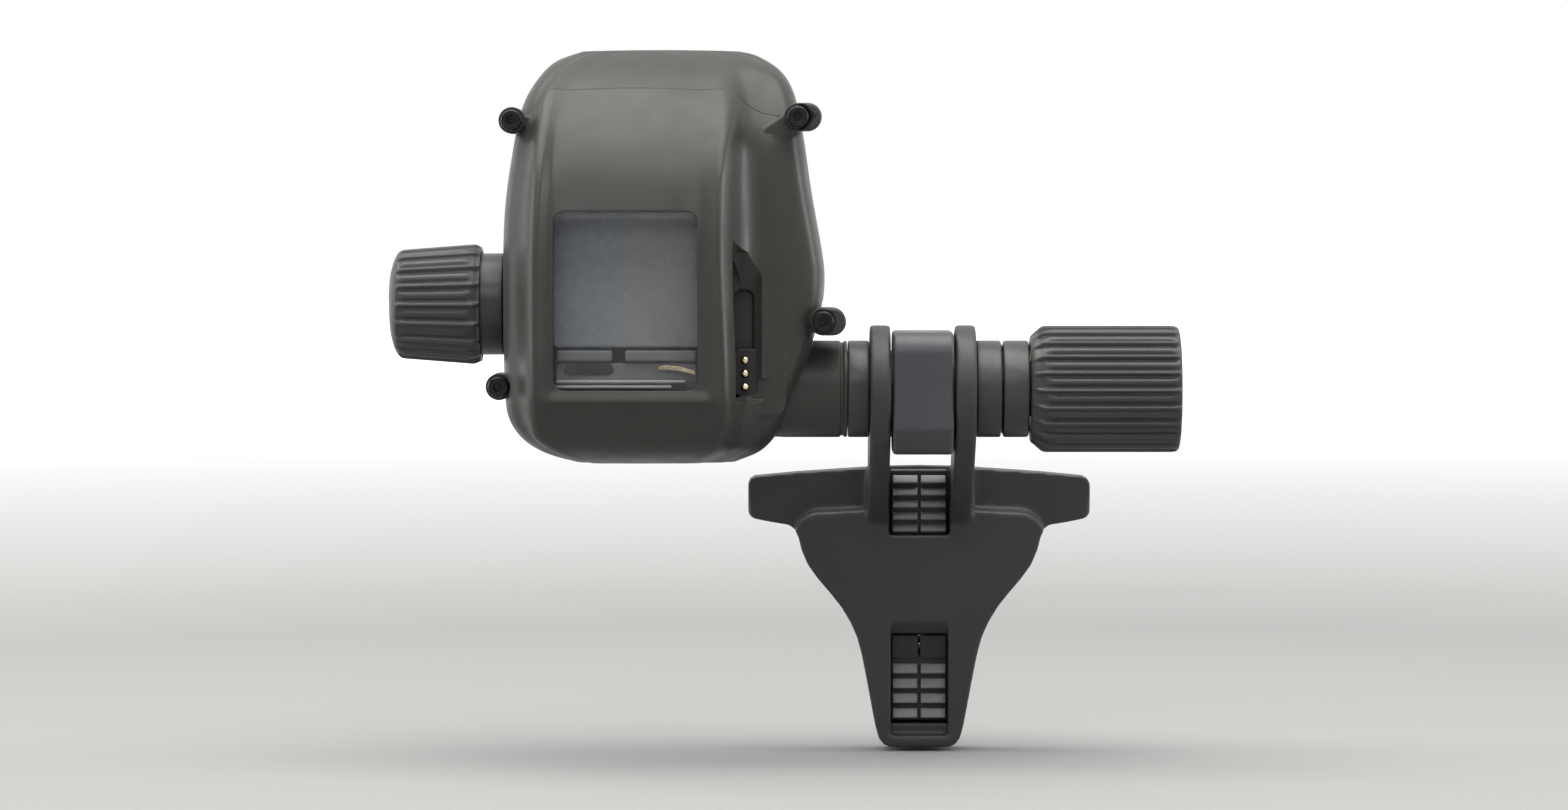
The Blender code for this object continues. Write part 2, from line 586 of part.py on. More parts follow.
def bridge_outline():
    """The bracket's shield shape, (x, z): two wings at the top and a narrow foot."""
    right = [(24.6, 11.2), (25.3, 12.0), (25.3, 16.6), (24.4, 17.4), (12.0, 18.3), (0.0, 18.9)]
    lower = [(0.0, -22.6), (4.6, -22.5), (6.0, -21.4), (7.0, -17.5), (8.4, -9.0), (10.2, -4.0), (13.2, 0.2),
             (16.8, 4.6), (18.0, 9.2), (19.2, 10.2)]
    half = lower + right
    return half + [(-x, z) for x, z in reversed(half) if x > 0]


def tangent(point, centre, radius, side):
    """The angle, in degrees, where a line from point touches a circle on one side."""
    dy, dz = point[0] - centre[0], point[1] - centre[1]
    towards, spread = math.atan2(dz, dy), math.acos(radius / math.hypot(dy, dz))
    return math.degrees(towards + side * spread)


def cheek_outline():
    """A fork cheek from the side, (y, z): a disc round the axle on an arm that leans forward."""
    lower, upper = (BRIDGE_FRONT_Y, 10.6), (-3.2, 16.6)
    start, end = tangent(lower, AXLE, CHEEK_R, -1), tangent(upper, AXLE, CHEEK_R, 1)
    return arc(AXLE, CHEEK_R, start % 360, end % 360, 18) + [upper, (-3.2, 10.6), lower]


def mask_bridge():
    bridge = solid("mask_bridge", prism("Y", bridge_outline(), BRIDGE_FRONT_Y, BRIDGE_BACK_Y), "bracket")
    band = solid("band_cut", box((-30, -20, 12.4), (30, BAND_FRONT_Y, 30)))
    combine(bridge, "DIFFERENCE", band)
    for k, side in enumerate((-1, 1)):
        low, high = sorted((side * CHEEK_IN, side * CHEEK_OUT))
        combine(bridge, "UNION", solid(f"cheek_{k}", prism("X", cheek_outline(), low, high)))
    # The lower latch's window, with a sloping lip above it, (y, z)
    window = ((-12, -20.8), (-6.0, -20.8), (-6.0, -6.6), (-8.0, -3.9), (-12, -3.9))
    cuts = (
        turned("X", AXLE, ((-12, AXLE_R + 0.2), (12, AXLE_R + 0.2)), 24),
        turned("X", KNUCKLE_PIN, ((-12, 1.0), (12, 1.0)), 12),
        box((-SLOT, -12, 8.8), (SLOT, BRIDGE_BACK_Y + 1, 30)),  # the upper latch, seen between the cheeks
        box((-SLOT, SKIN_BACK_Y, 0.0), (SLOT, 0, 30)),
        box((-5.8, SKIN_BACK_Y, 0.0), (5.8, 0, 9.4)),
        prism("X", window, -SLOT + 0.3, SLOT - 0.3),
        box((-SLOT, SKIN_BACK_Y, -19.1), (SLOT, 0, -1.4)),
        box((-5.3, SKIN_BACK_Y, -19.1), (5.3, 0, -12.0)),
    )
    for k, cut in enumerate(cuts):
        combine(bridge, "DIFFERENCE", solid(f"bridge_cut_{k}", cut))
    for k, at in enumerate(BRIDGE_SCREWS):
        hole = turned("Y", at, ((-4.6, 1.0), (0, 1.0)), 12)
        combine(bridge, "DIFFERENCE", solid(f"bridge_hole_{k}", hole))


def back_plate():
    plate = solid("back_plate", prism("Y", bridge_outline(), PLATE_FRONT_Y, 0), "bracket")
    cuts = [box((-2.8, -5, 9.6), (2.8, 5, 15.4)), box((-2.8, -5, -17.6), (2.8, 5, -11.8))]
    for at in BRIDGE_SCREWS:
        cuts += [turned("Y", at, ((-1.05, 2.0), (5, 2.0)), 16), turned("Y", at, ((-5, 1.05), (5, 1.05)), 12)]
    for k, cut in enumerate(cuts):
        combine(plate, "DIFFERENCE", solid(f"plate_cut_{k}", cut))
    for k, at in enumerate(BRIDGE_SCREWS, 1):
        screw = hex_socket_screw("Y", at, -0.15, -0.95, -4.4, 1.8, 0.9)
        solid(f"bridge_screw_{k}", screw, "steel")


def latch(name, low, high, ears, ear_reach, ribs, hook_z, hung_on):
    """A sliding latch bar: ribs in two columns for a thumb, ears that stop it, and a hook at the back.

    ribs is the lowest rib's z, the pitch from rib to rib, and how many there are.
    """
    bar = solid(name, box((-4.2, -5.2, low), (4.2, -2.2, high)), "knuckle", hung_on)
    combine(bar, "UNION", solid(f"{name}_ears", box((-ear_reach, -4.9, ears[0]), (ear_reach, -2.5, ears[1]))))
    combine(bar, "UNION", solid(f"{name}_hook", box((-2.0, -3.0, hook_z), (2.0, -0.6, hook_z + 1.4))))
    first, pitch, count = ribs
    rib_steps = ((-4.6, 0), (-5.5, 0), (-6.1, 0.17), (-6.1, 0.48), (-5.5, 0.65), (-4.6, 0.65))
    for row in range(count):
        for column, (x0, x1) in enumerate(((-3.9, -0.25), (0.25, 3.9))):
            rib = prism("X", [(y, first + pitch * (row + rise)) for y, rise in rib_steps], x0, x1)
            combine(bar, "UNION", solid(f"{name}_rib_{row}_{column}", rib))


def latches():
    latch("upper_latch", 6.2, 18.4, (6.2, 9.1), 5.5, (9.2, 1.8, 5), 12.4, upper_release)
    latch("lower_latch", -18.8, -9.0, (-18.8, -15.2), 5.0, (-18.4, 2.2, 4), -16.4, lower_release)
    spring("upper_latch_spring", "Z", (0, -3.6), 0.6, 5.6, 1.2, 0.22, 5, "steel")
    spring("lower_latch_spring", "Z", (0, -3.6), -8.4, -2.0, 1.2, 0.22, 5, "steel")


def knuckle():
    outline = rounded_box((AXLE[0] - 8.6, AXLE[1] - 9.4), (AXLE[0] + 8.6, AXLE[1] + 8.4), 3.4, 4)
    block = solid("hinge_knuckle", prism("X", outline, -4.35, 4.35), "knuckle")
    bore = solid("knuckle_bore", turned("X", AXLE, ((-9, 6.75), (9, 6.75)), 24))
    pin_hole = solid("knuckle_pin_hole", turned("X", KNUCKLE_PIN, ((-9, 1.0), (9, 1.0)), 12))
    combine(block, "DIFFERENCE", bore, pin_hole)
    solid("knuckle_pin", turned("X", KNUCKLE_PIN, ((-7.5, 0.9), (7.5, 0.9)), 12), "steel")


O_RINGS = (-64.5, -61.0)
KNUCKLE_PIN = (AXLE[0] + 6.3, AXLE[1] - 6.3)  # (y, z), in the knuckle's lower back corner

clear_scene()
flip = pivot("flip_axis", (0, *AXLE))
wheel_slide = pivot("wheel_push_axis", (-60, *WHEEL), flip)
wheel_turn = pivot("wheel_turn_axis", (-70, *WHEEL), wheel_slide)
knob_slide = pivot("knob_travel_axis", (13, *AXLE), flip)
knob_turn = pivot("knob_turn_axis", (26, *AXLE), knob_slide)
upper_release = pivot("upper_release_axis", (0, -3.5, 12))
lower_release = pivot("lower_release_axis", (0, -3.5, -14))

housing_shells()
eye_window()
optics()
electronics()
contacts()
axle_and_rings()
lock_knob()
push_wheel()
wheel_bearing()
mask_bridge()
back_plate()
latches()
knuckle()
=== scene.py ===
"""The finished look of the head-up dive computer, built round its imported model.

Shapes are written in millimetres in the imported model's own frame: +Z up, -Y towards the camera, and the
origin on the bracket's flat back.
"""

import json
import math

import bmesh
import bpy
import numpy as np
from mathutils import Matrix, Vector


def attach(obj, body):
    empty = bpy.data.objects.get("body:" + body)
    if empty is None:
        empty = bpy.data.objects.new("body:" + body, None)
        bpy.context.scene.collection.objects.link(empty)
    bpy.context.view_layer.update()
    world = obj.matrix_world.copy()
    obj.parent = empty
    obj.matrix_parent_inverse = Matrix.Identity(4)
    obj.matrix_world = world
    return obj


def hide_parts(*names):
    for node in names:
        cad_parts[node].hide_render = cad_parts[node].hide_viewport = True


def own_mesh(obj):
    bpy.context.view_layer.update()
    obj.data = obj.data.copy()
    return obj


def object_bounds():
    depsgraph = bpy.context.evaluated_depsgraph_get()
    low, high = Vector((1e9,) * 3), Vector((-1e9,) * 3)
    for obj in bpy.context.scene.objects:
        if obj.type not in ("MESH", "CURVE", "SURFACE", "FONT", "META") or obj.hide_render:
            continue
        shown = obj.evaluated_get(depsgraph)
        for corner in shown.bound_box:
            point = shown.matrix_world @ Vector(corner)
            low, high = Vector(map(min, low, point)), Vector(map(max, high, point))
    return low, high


MM = 0.001
GAP = 0.3  # between the window's seal and the frame it rests on

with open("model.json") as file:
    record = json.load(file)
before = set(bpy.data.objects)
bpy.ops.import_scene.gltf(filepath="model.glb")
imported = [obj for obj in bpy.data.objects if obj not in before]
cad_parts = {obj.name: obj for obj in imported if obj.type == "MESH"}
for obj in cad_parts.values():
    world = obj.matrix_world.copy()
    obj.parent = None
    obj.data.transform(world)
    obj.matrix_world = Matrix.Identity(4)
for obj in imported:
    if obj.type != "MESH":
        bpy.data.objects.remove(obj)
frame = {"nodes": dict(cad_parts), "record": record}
cad_low, cad_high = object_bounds()

# The CAD model's own dimensions
AXLE = (-24.0, 31.0)  # (y, z)
AXLE_R, RING_R = 5.5, 7.0
WHEEL = (-21.5, 43.2)  # (y, z)
SPLIT_Y = -31.5
WALL = 1.8
SEAM = 0.012  # half the parting line between the two shells
BRIDGE_FRONT_Y, BAND_FRONT_Y, BRIDGE_BACK_Y, PLATE_FRONT_Y = -8.0, -5.2, -1.8, -1.5
SKIN_BACK_Y, SLOT = -6.4, 4.5
CHEEK_IN, CHEEK_OUT, CHEEK_R = 4.65, 7.65, 9.2
MIDDLE_Y = -19.4
HOUSING_LOW, HOUSING_HIGH = 20.5, 79.8
WINDOW_LOW, WINDOW_HIGH = (-52.6, 31.3), (-32.2, 56.7)
FRAME_Y = -41.0
SENSOR = (-24.0, 60.0)
KNUCKLE_PIN = (AXLE[0] + 6.3, AXLE[1] - 6.3)
EARS = (  # the screw's (x, z), the ear's reach past it, its radius, its root's (x, z)
    ((-58.8, 69.6), 0.0, 1.9, (-55.5, 68.6)),
    ((-60.7, 31.6), 0.0, 1.9, (-58.5, 31.6)),
    ((-18.0, 70.1), 1.4, 2.0, (-23.6, 66.4)),
    ((-14.4, 40.9), 1.3, 2.0, (-17.6, 40.9)),
)
EAR_FRONT_Y, EAR_BACK_Y = -35.0, -27.0
BRIDGE_SCREWS = ((-14.5, 12.6), (14.5, 12.6), (-7.3, -4.2), (7.3, -4.2))

# The housing, as tables of (z, value)
LEFT_EDGE = ((20.5, -50), (21.6, -53.8), (23.5, -57), (26, -59), (28.5, -59.8), (35, -60.1), (45, -60.2),
             (56, -60), (67, -58.6), (72.4, -57.3), (76, -55.2), (78.5, -52.6), (79.8, -49))
RIGHT_EDGE = ((20.5, -27), (22, -23.5), (25, -20.8), (30, -18.6), (37, -16.2), (44, -14.4), (48, -14.2),
              (60, -16.2), (67, -17.2), (73.6, -18.6), (77, -20.6), (79.3, -24.2), (79.8, -26.5))
VISOR = ((20.5, -31), (21.2, -35), (22.5, -38.5), (25, -41.5), (28, -43), (31, -43.8), (36, -44), (50, -44),
         (55, -43.5), (60, -42.2), (64, -40.3), (68, -37.6), (72, -33.9), (75, -30.2), (77.5, -26.3),
         (79, -23.2), (79.8, -21.2))
LEFT_FLANK = ((20.5, -29), (22.5, -34), (25, -37.5), (30, -39.6), (50, -40.2), (60, -39), (66, -36.4),
              (70, -33.6), (74, -30), (77.5, -25.8), (79.8, -21))
RIGHT_FLANK = ((20.5, -28), (22.5, -31.5), (25, -33.6), (28, -34.8), (34, -35.4), (50, -35.6), (60, -35.2),
               (66, -34.2), (70, -32.8), (74, -30.2), (77.5, -25.8), (79.8, -20.9))
BACK = ((20.5, -14), (22, -11.6), (25, -10.2), (30, -10), (70, -10), (74, -11), (77.5, -13.6), (79.8, -17.5))
LEFT_RIDGE = ((20.5, -54), (30, -54.9), (50, -55), (72, -53.4), (79.8, -50))
RIGHT_RIDGE = ((20.5, -30), (30, -28.4), (50, -29.1), (60, -29.1), (72, -28.4), (79.8, -30))
RIDGE_HEIGHT = ((20.5, 0), (24, 0), (30, 1.4), (62, 1.4), (68, 1.0), (73, 0.4), (77, 0), (79.8, 0))
CAVITY_SLICES = (22.6, 25, 29, 36, 52, 58, 63, 68, 72, 76.5)  # heights


# Materials


class Nodes:
    """A small helper to write a material's node tree."""

    def __init__(self, name):
        self.material = bpy.data.materials.new(name)
        self.material.use_nodes = True
        self.tree = self.material.node_tree
        self.shader = self.tree.nodes["Principled BSDF"]
        self.coords = self.tree.nodes.new("ShaderNodeTexCoord").outputs["Object"]

    def new(self, kind, inputs=(), **settings):
        node = self.tree.nodes.new(f"ShaderNode{kind}")
        for key, value in settings.items():
            setattr(node, key, value)
        for key, value in dict(inputs).items():
            self.put(node.inputs[key], value)
        return node

    def put(self, socket, value):
        """Links an output to a socket, or sets a plain value on it."""
        if isinstance(value, bpy.types.NodeSocket):
            self.tree.links.new(value, socket)
        else:
            socket.default_value = value

    def set(self, **values):
        """Sets the shader's own sockets: numbers stay on the socket, and outputs are linked."""
        for key, value in values.items():
            self.put(self.shader.inputs[key.replace("_", " ")], value)

    def noise(self, scale, detail=3.0, roughness=0.5):
        inputs = {"Vector": self.coords, "Scale": scale, "Detail": detail, "Roughness": roughness}
        return self.new("TexNoise", inputs).outputs["Fac"]

    def ramp(self, value, low, high, start=0.0, end=1.0):
        """A value between start and end mapped onto low to high."""
        inputs = {"Value": value, "From Min": start, "From Max": end, "To Min": low, "To Max": high}
        return self.new("MapRange", inputs).outputs["Result"]

    def mix(self, share, a, b):
        node = self.new("Mix", data_type="RGBA")
        for index, value in ((0, share), (6, a), (7, b)):
            self.put(node.inputs[index], value)
        return node.outputs[2]

    def math(self, operation, a, b=0.0):
        return self.new("Math", {0: a, 1: b}, operation=operation).outputs[0]

    def edges(self, radius):
        """How much a point lies on an edge, from the difference between its plain and rounded normals."""
        rounded = self.new("Bevel", {"Radius": radius}, samples=4).outputs["Normal"]
        plain = self.new("NewGeometry").outputs["Normal"]
        dot = self.new("VectorMath", {0: rounded, 1: plain}, operation="DOT_PRODUCT").outputs["Value"]
        return self.ramp(dot, 1.0, 0.0, 0.86, 0.995)

    def bump(self, height, strength, distance, rounding=None):
        inputs = {"Height": height, "Strength": strength, "Distance": distance}
        if rounding:
            inputs["Normal"] = self.new("Bevel", {"Radius": rounding}, samples=4).outputs["Normal"]
        return self.new("Bump", inputs).outputs["Normal"]


def scaled(colour, by):
    return tuple(c * by for c in colour) + (1.0,)


def plastic(name, colour, roughness, grain=2600.0, depth=0.4, rounding=0.25 * MM, edge_wear_and_highlight=1.5, sheen=0.35):
    """Moulded plastic with a fine spark-eroded grain, slow mottling, slightly polished edges, and edges
    painted lighter, partly as wear and partly as a painted highlight.
    """
    m = Nodes(name)
    mottle = m.noise(70.0, 4.0)
    fine = m.noise(grain, 2.0, 0.6)
    edge = m.edges(0.35 * MM)
    base = m.mix(m.ramp(mottle, 0.0, 1.0, 0.3, 0.7), scaled(colour, 0.9), scaled(colour, 1.1))
    # Edges painted lighter: partly wear, partly a painted highlight where they catch the light.
    base = m.mix(m.ramp(edge, 0.0, 0.55), base, scaled(colour, edge_wear_and_highlight))
    rough = m.math("ADD", m.ramp(m.noise(320.0, 3.0), roughness - 0.05, roughness + 0.06, 0.3, 0.7),
                   m.ramp(edge, 0.0, -0.08))
    m.set(Base_Color=base, Roughness=rough, Normal=m.bump(fine, depth, 0.02 * MM, rounding))
    m.set(Specular_IOR_Level=sheen)
    return m.material


def metal(name, colour, roughness, brushed=(1.0, 1.0, 1.0), depth=0.25):
    m = Nodes(name)
    stretch = m.new("Mapping", {"Vector": m.coords, "Scale": brushed}).outputs["Vector"]
    streaks = m.new("TexNoise", {"Vector": stretch, "Scale": 900.0, "Detail": 3.0}).outputs["Fac"]
    rough = m.ramp(streaks, roughness - 0.07, roughness + 0.1, 0.3, 0.7)
    tint = m.mix(m.ramp(m.noise(160.0), 0.0, 1.0, 0.35, 0.65), scaled(colour, 0.86), scaled(colour, 1.05))
    m.set(Base_Color=tint, Metallic=1.0, Roughness=rough)
    m.set(Normal=m.bump(streaks, depth, 0.01 * MM, 0.15 * MM))
    return m.material


def clear(name, colour, alpha, roughness):
    """Glossy smoked plastic, with smudges."""
    m = Nodes(name)
    smudge = m.ramp(m.noise(130.0, 4.0), roughness, roughness + 0.07, 0.45, 0.8)
    m.set(Base_Color=(*colour, 1.0), Alpha=alpha, Roughness=smudge, IOR=1.49)
    return m.material


def prism_finish():
    """Frosted optical plastic, bluer on the left of the joint between its two halves."""
    m = Nodes("prism_plastic")
    side = m.new("SeparateXYZ", {0: m.coords}).outputs["X"]
    half = m.ramp(side, 0.0, 1.0, -42.85 * MM, -42.6 * MM)
    frost = m.noise(900.0, 3.0)
    m.set(Base_Color=m.mix(half, (0.36, 0.39, 0.43, 1), (0.41, 0.41, 0.415, 1)))
    m.set(Roughness=m.ramp(frost, 0.2, 0.34, 0.3, 0.7), Normal=m.bump(frost, 0.15, 0.01 * MM))
    return m.material


def board_finish():
    m = Nodes("circuit_board")
    cells = m.new("TexVoronoi", {"Vector": m.coords, "Scale": 420.0}, feature="F1", distance="CHEBYCHEV")
    tracks = m.ramp(cells.outputs["Distance"], 0.0, 1.0, 0.3, 0.36)
    m.set(Base_Color=m.mix(tracks, (0.01, 0.09, 0.035, 1), (0.02, 0.14, 0.06, 1)), Roughness=0.35)
    m.set(Normal=m.bump(tracks, 0.3, 0.03 * MM))
    return m.material


def cell_finish():
    m = Nodes("wrapped_cell")
    wrap = m.noise(60.0, 2.0)
    m.set(Base_Color=m.mix(m.ramp(wrap, 0, 1, 0.3, 0.7), (0.05, 0.12, 0.25, 1), (0.08, 0.17, 0.32, 1)))
    m.set(Roughness=m.ramp(m.noise(400.0), 0.25, 0.4, 0.3, 0.7), Normal=m.bump(wrap, 0.3, 0.1 * MM))
    return m.material


def rubber_finish():
    m = Nodes("black_rubber")
    fine = m.noise(3000.0, 2.0)
    m.set(Base_Color=m.mix(m.noise(200.0), (0.012, 0.012, 0.012, 1), (0.024, 0.024, 0.024, 1)))
    m.set(Roughness=m.ramp(fine, 0.6, 0.85, 0.3, 0.7), Normal=m.bump(fine, 0.4, 0.02 * MM, 0.15 * MM))
    return m.material


FINISH = {
    "shell": plastic("housing_plastic", (0.036, 0.0355, 0.0325), 0.38, sheen=0.27),
    "bracket": plastic("bracket_plastic", (0.038, 0.038, 0.040), 0.46, grain=2200.0, depth=0.5),
    "knuckle": plastic("knuckle_plastic", (0.050, 0.054, 0.060), 0.36),
    # The knob's edges are painted lighter than the rest: a painted highlight on its ridges, partly wear.
    "knob": plastic("knob_plastic", (0.036, 0.040, 0.038), 0.35, edge_wear_and_highlight=1.9),
    "rubber": rubber_finish(),
    "steel": metal("stainless_steel", (0.5, 0.5, 0.51), 0.28, (1.0, 6.0, 6.0)),
    "alloy": metal("black_anodised_alloy", (0.05, 0.05, 0.052), 0.36, (6.0, 1.0, 1.0)),
    "black_steel": metal("black_screws", (0.03, 0.03, 0.032), 0.3),
    "brass": metal("turned_brass", (0.58, 0.4, 0.15), 0.3, (6.0, 1.0, 1.0)),
    "gold": metal("plated_contacts", (0.9, 0.76, 0.5), 0.2),
    "window": clear("smoked_window", (0.05, 0.051, 0.055), 0.22, 0.03),
    "lens": prism_finish(),
    "board": board_finish(),
    "cell": cell_finish(),
    "display": clear("black_screen", (0.01, 0.01, 0.014), 1.0, 0.08),
}
# The looks of pieces that differ from their slot's
CARRIER = plastic("carrier_plastic", (0.30, 0.31, 0.32), 0.3, edge_wear_and_highlight=1.3)
# A near-white plastic painted in as highlight lines at the window's foot.
PAINTED_HIGHLIGHT_WHITE = plastic("painted_highlight_strip", (0.85, 0.85, 0.84), 0.25, edge_wear_and_highlight=1.0)
# Light grey for the latch ribs, painted as faces lit from above.
RIBS_PAINTED_LIT = plastic("latch_ribs_painted_lit", (0.19, 0.19, 0.197), 0.34, edge_wear_and_highlight=1.4)
# Near-black plastic painted as shade: the contact block in its slot, and the latch bars between their ribs.
PAINTED_SHADE_PLASTIC = plastic("painted_shade_plastic", (0.02, 0.02, 0.021), 0.45)
SLOTS = {row["node"]: row["material_slot"] for row in frame["record"]["subparts"]}
BODIES = {n: body for body, nodes in frame["record"]["behaviour"]["bodies"].items() for n in nodes}


# Shapes: each gives (points, faces)


def place(axis, along, a, b):
    return {"X": (along, a, b), "Y": (a, along, b), "Z": (a, b, along)}[axis]


def loft(rings, closed=False):
    size = len(rings[0])
    points = [tuple(p) for ring in rings for p in ring]
    faces = []
    for k in range(len(rings) if closed else len(rings) - 1):
        a, b = k * size, (k + 1) % len(rings) * size
        faces += [(a + i, a + (i + 1) % size, b + (i + 1) % size, b + i) for i in range(size)]
    if not closed:
        faces += [tuple(range(size))[::-1], tuple(range(len(points) - size, len(points)))]
    return points, faces


def turned(axis, centre, profile, sides=96, hollow=False, cut=None):
    """A turned shape from (along, radius) points.

    cut(share of a turn, along, radius) can change the radius.
    """
    rings = []
    for along, radius in profile:
        ring = []
        for i in range(sides):
            turn = 2 * math.pi * i / sides
            r = cut(i / sides, along, radius) if cut else radius
            ring.append(place(axis, along, centre[0] + r * math.cos(turn), centre[1] + r * math.sin(turn)))
        rings.append(ring)
    return loft(rings, hollow)


def rod(axis, centre, start, end, radius, sides):
    """A plain cylinder, mostly a tool that cuts a bore."""
    return turned(axis, centre, ((start, radius), (end, radius)), sides)


def eased(corners, radius, steps=3, closed=True):
    """A profile with its corners rounded. A corner is (along, radius) or (along, radius, own rounding)."""
    out = []
    count = len(corners)
    for i, corner in enumerate(corners):
        here = np.array(corner[:2], float)
        own = corner[2] if len(corner) > 2 else radius
        if own <= 0 or (not closed and i in (0, count - 1)):
            out.append(tuple(here))
            continue
        before = np.array(corners[i - 1][:2], float) - here
        after = np.array(corners[(i + 1) % count][:2], float) - here
        cut_back = min(own, 0.45 * np.linalg.norm(before), 0.45 * np.linalg.norm(after))
        start = here + before / np.linalg.norm(before) * cut_back
        end = here + after / np.linalg.norm(after) * cut_back
        for k in range(steps + 1):
            t = k / steps
            out.append(tuple((1 - t) ** 2 * start + 2 * t * (1 - t) * here + t**2 * end))
    return out


def ring_piece(start, end, inner, outer, rounding=0.35):
    corners = ((start, inner), (start, outer), (end, outer), (end, inner))
    return turned("X", AXLE, eased(corners, rounding), hollow=True)


def prism(axis, outline, low, high):
    return loft([[place(axis, along, a, b) for a, b in outline] for along in (low, high)])


def box(low, high):
    outline = ((low[0], low[1]), (high[0], low[1]), (high[0], high[1]), (low[0], high[1]))
    return prism("Z", outline, low[2], high[2])


def shrunk(outline, by):
    """An outline moved inwards, corner by corner."""
    pts = np.array(outline, float)
    before, after = pts - np.roll(pts, 1, 0), np.roll(pts, -1, 0) - pts
    before /= np.linalg.norm(before, axis=1)[:, None]
    after /= np.linalg.norm(after, axis=1)[:, None]
    area = np.sum(pts[:, 0] * np.roll(pts[:, 1], -1) - np.roll(pts[:, 0], -1) * pts[:, 1])
    turn = 1.0 if area > 0 else -1.0
    inward = np.stack([-(before + after)[:, 1], (before + after)[:, 0]], 1) * turn
    length = np.linalg.norm(inward, axis=1)
    inward /= length[:, None]
    spread = np.clip(length / 2, 0.35, 1.0)
    return [tuple(p) for p in pts + inward * by / spread[:, None]]


def soft_prism(axis, outline, low, high, edge, steps=3):
    """A prism whose two ends are rounded over."""
    rings = []
    for k in range(steps + 1):
        turn = math.pi / 2 * k / steps
        inset = edge * (1 - math.sin(turn))
        rings.append((low + edge * (1 - math.cos(turn)), inset))
    rings += [(high + low - along, inset) for along, inset in reversed(rings)]
    return loft([[place(axis, along, a, b) for a, b in shrunk(outline, inset)] for along, inset in rings])


def coil(axis, centre, start, end, coil_r, wire_r, turns):
    """A helical spring's wire."""
    rings = []
    for share in np.linspace(0, 1, turns * 30 + 1):
        turn, along = 2 * math.pi * turns * share, mix(start, end, share)
        ring = []
        for around in np.linspace(0, 2 * math.pi, 12, endpoint=False):
            r = coil_r + wire_r * math.cos(around)
            a, b = centre[0] + r * math.cos(turn), centre[1] + r * math.sin(turn)
            ring.append(place(axis, along + wire_r * math.sin(around), a, b))
        rings.append(ring)
    return loft(rings)


def arc(centre, radius, start, end, steps):
    turns = [math.radians(start + (end - start) * k / steps) for k in range(steps + 1)]
    return [(centre[0] + radius * math.cos(t), centre[1] + radius * math.sin(t)) for t in turns]


def rounded_box(low, high, radius, steps=8):
    (x0, z0), (x1, z1) = low, high
    outline = []
    for x, z, start in ((x1, z1, 0), (x0, z1, 90), (x0, z0, 180), (x1, z0, 270)):
        centre = (x - radius if x == x1 else x + radius, z - radius if z == z1 else z + radius)
        outline += arc(centre, radius, start, start + 90, steps)
    return outline


def capsule(start, end, radius, steps=16):
    heading = math.degrees(math.atan2(end[1] - start[1], end[0] - start[0]))
    far = arc(end, radius, heading - 90, heading + 90, steps)
    near = arc(start, radius, heading + 90, heading + 270, steps)
    return far + near if start != end else far[:-1] + near[:-1]


def gathered(shapes):
    """Several separate shapes as one."""
    points, faces = [], []
    for more_points, more_faces in shapes:
        faces += [tuple(i + len(points) for i in face) for face in more_faces]
        points += more_points
    return points, faces


def grown(low, high, by):
    return (low[0] - by, low[1] - by), (high[0] + by, high[1] + by)


# Objects


def raw(name, shape):
    """A plain mesh object in metres, with its faces pointing out."""
    points, faces = shape
    mesh = bpy.data.meshes.new(name)
    mesh.from_pydata([Vector(p) * MM for p in points], [], faces)
    work = bmesh.new()
    work.from_mesh(mesh)
    bmesh.ops.remove_doubles(work, verts=work.verts, dist=1e-7)
    bmesh.ops.recalc_face_normals(work, faces=work.faces)
    work.to_mesh(mesh)
    work.free()
    obj = bpy.data.objects.new(name, mesh)
    bpy.context.scene.collection.objects.link(obj)
    return obj


def settle(obj):
    """Applies an object's modifiers."""
    graph = bpy.context.evaluated_depsgraph_get()
    mesh = bpy.data.meshes.new_from_object(obj.evaluated_get(graph))
    obj.modifiers.clear()
    obj.data = mesh
    return obj


def carve(obj, *steps):
    """Applies Booleans in turn: each step is (operation, shape, shape, ...)."""
    tools = []
    for operation, *shapes in steps:
        for shape in shapes:
            tool = raw("tool", shape)
            modifier = obj.modifiers.new("cut", "BOOLEAN")
            modifier.operation = operation
            modifier.object = tool
            tools.append(tool)
    settle(obj)
    for tool in tools:
        bpy.data.objects.remove(tool)
    return obj


def smooth(obj, angle=32, weighted=False):
    obj.data.shade_smooth()
    obj.data.set_sharp_from_angle(angle=math.radians(angle))
    if weighted:
        modifier = obj.modifiers.new("weighted", "WEIGHTED_NORMAL")
        modifier.keep_sharp = True
        settle(obj)
    return obj


def finish(obj, *nodes, angle=32, weighted=False, look=None):
    """Shades a piece, gives it its nodes' material, and rides it on their body."""
    smooth(obj, angle, weighted)
    slot = SLOTS[nodes[0]]
    obj.data.materials.clear()
    obj.data.materials.append(look or FINISH[slot])
    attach(obj, BODIES[nodes[0]])
    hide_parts(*nodes)
    return obj


# The housing


def limited(slope, step):
    if slope * step <= 0:
        return 0.0
    return math.copysign(min(abs(slope), 3 * abs(step)), step)


def read(table, z):
    """A table's value at height z, on a smooth curve through its points."""
    if z <= table[0][0]:
        return table[0][1]
    if z >= table[-1][0]:
        return table[-1][1]
    k = max(i for i, row in enumerate(table) if row[0] <= z)
    (z0, v0), (z1, v1) = table[k], table[k + 1]
    before, after = table[max(k - 1, 0)], table[min(k + 2, len(table) - 1)]
    step = (v1 - v0) / (z1 - z0)
    slope0 = limited((v1 - before[1]) / (z1 - before[0]), step)
    slope1 = limited((after[1] - v0) / (after[0] - z0), step)
    t, h = (z - z0) / (z1 - z0), z1 - z0
    return (
        (2 * t**3 - 3 * t**2 + 1) * v0
        + (t**3 - 2 * t**2 + t) * h * slope0
        + (3 * t**2 - 2 * t**3) * v1
        + (t**3 - t**2) * h * slope1
    )


def mix(a, b, share):
    return a + (b - a) * share


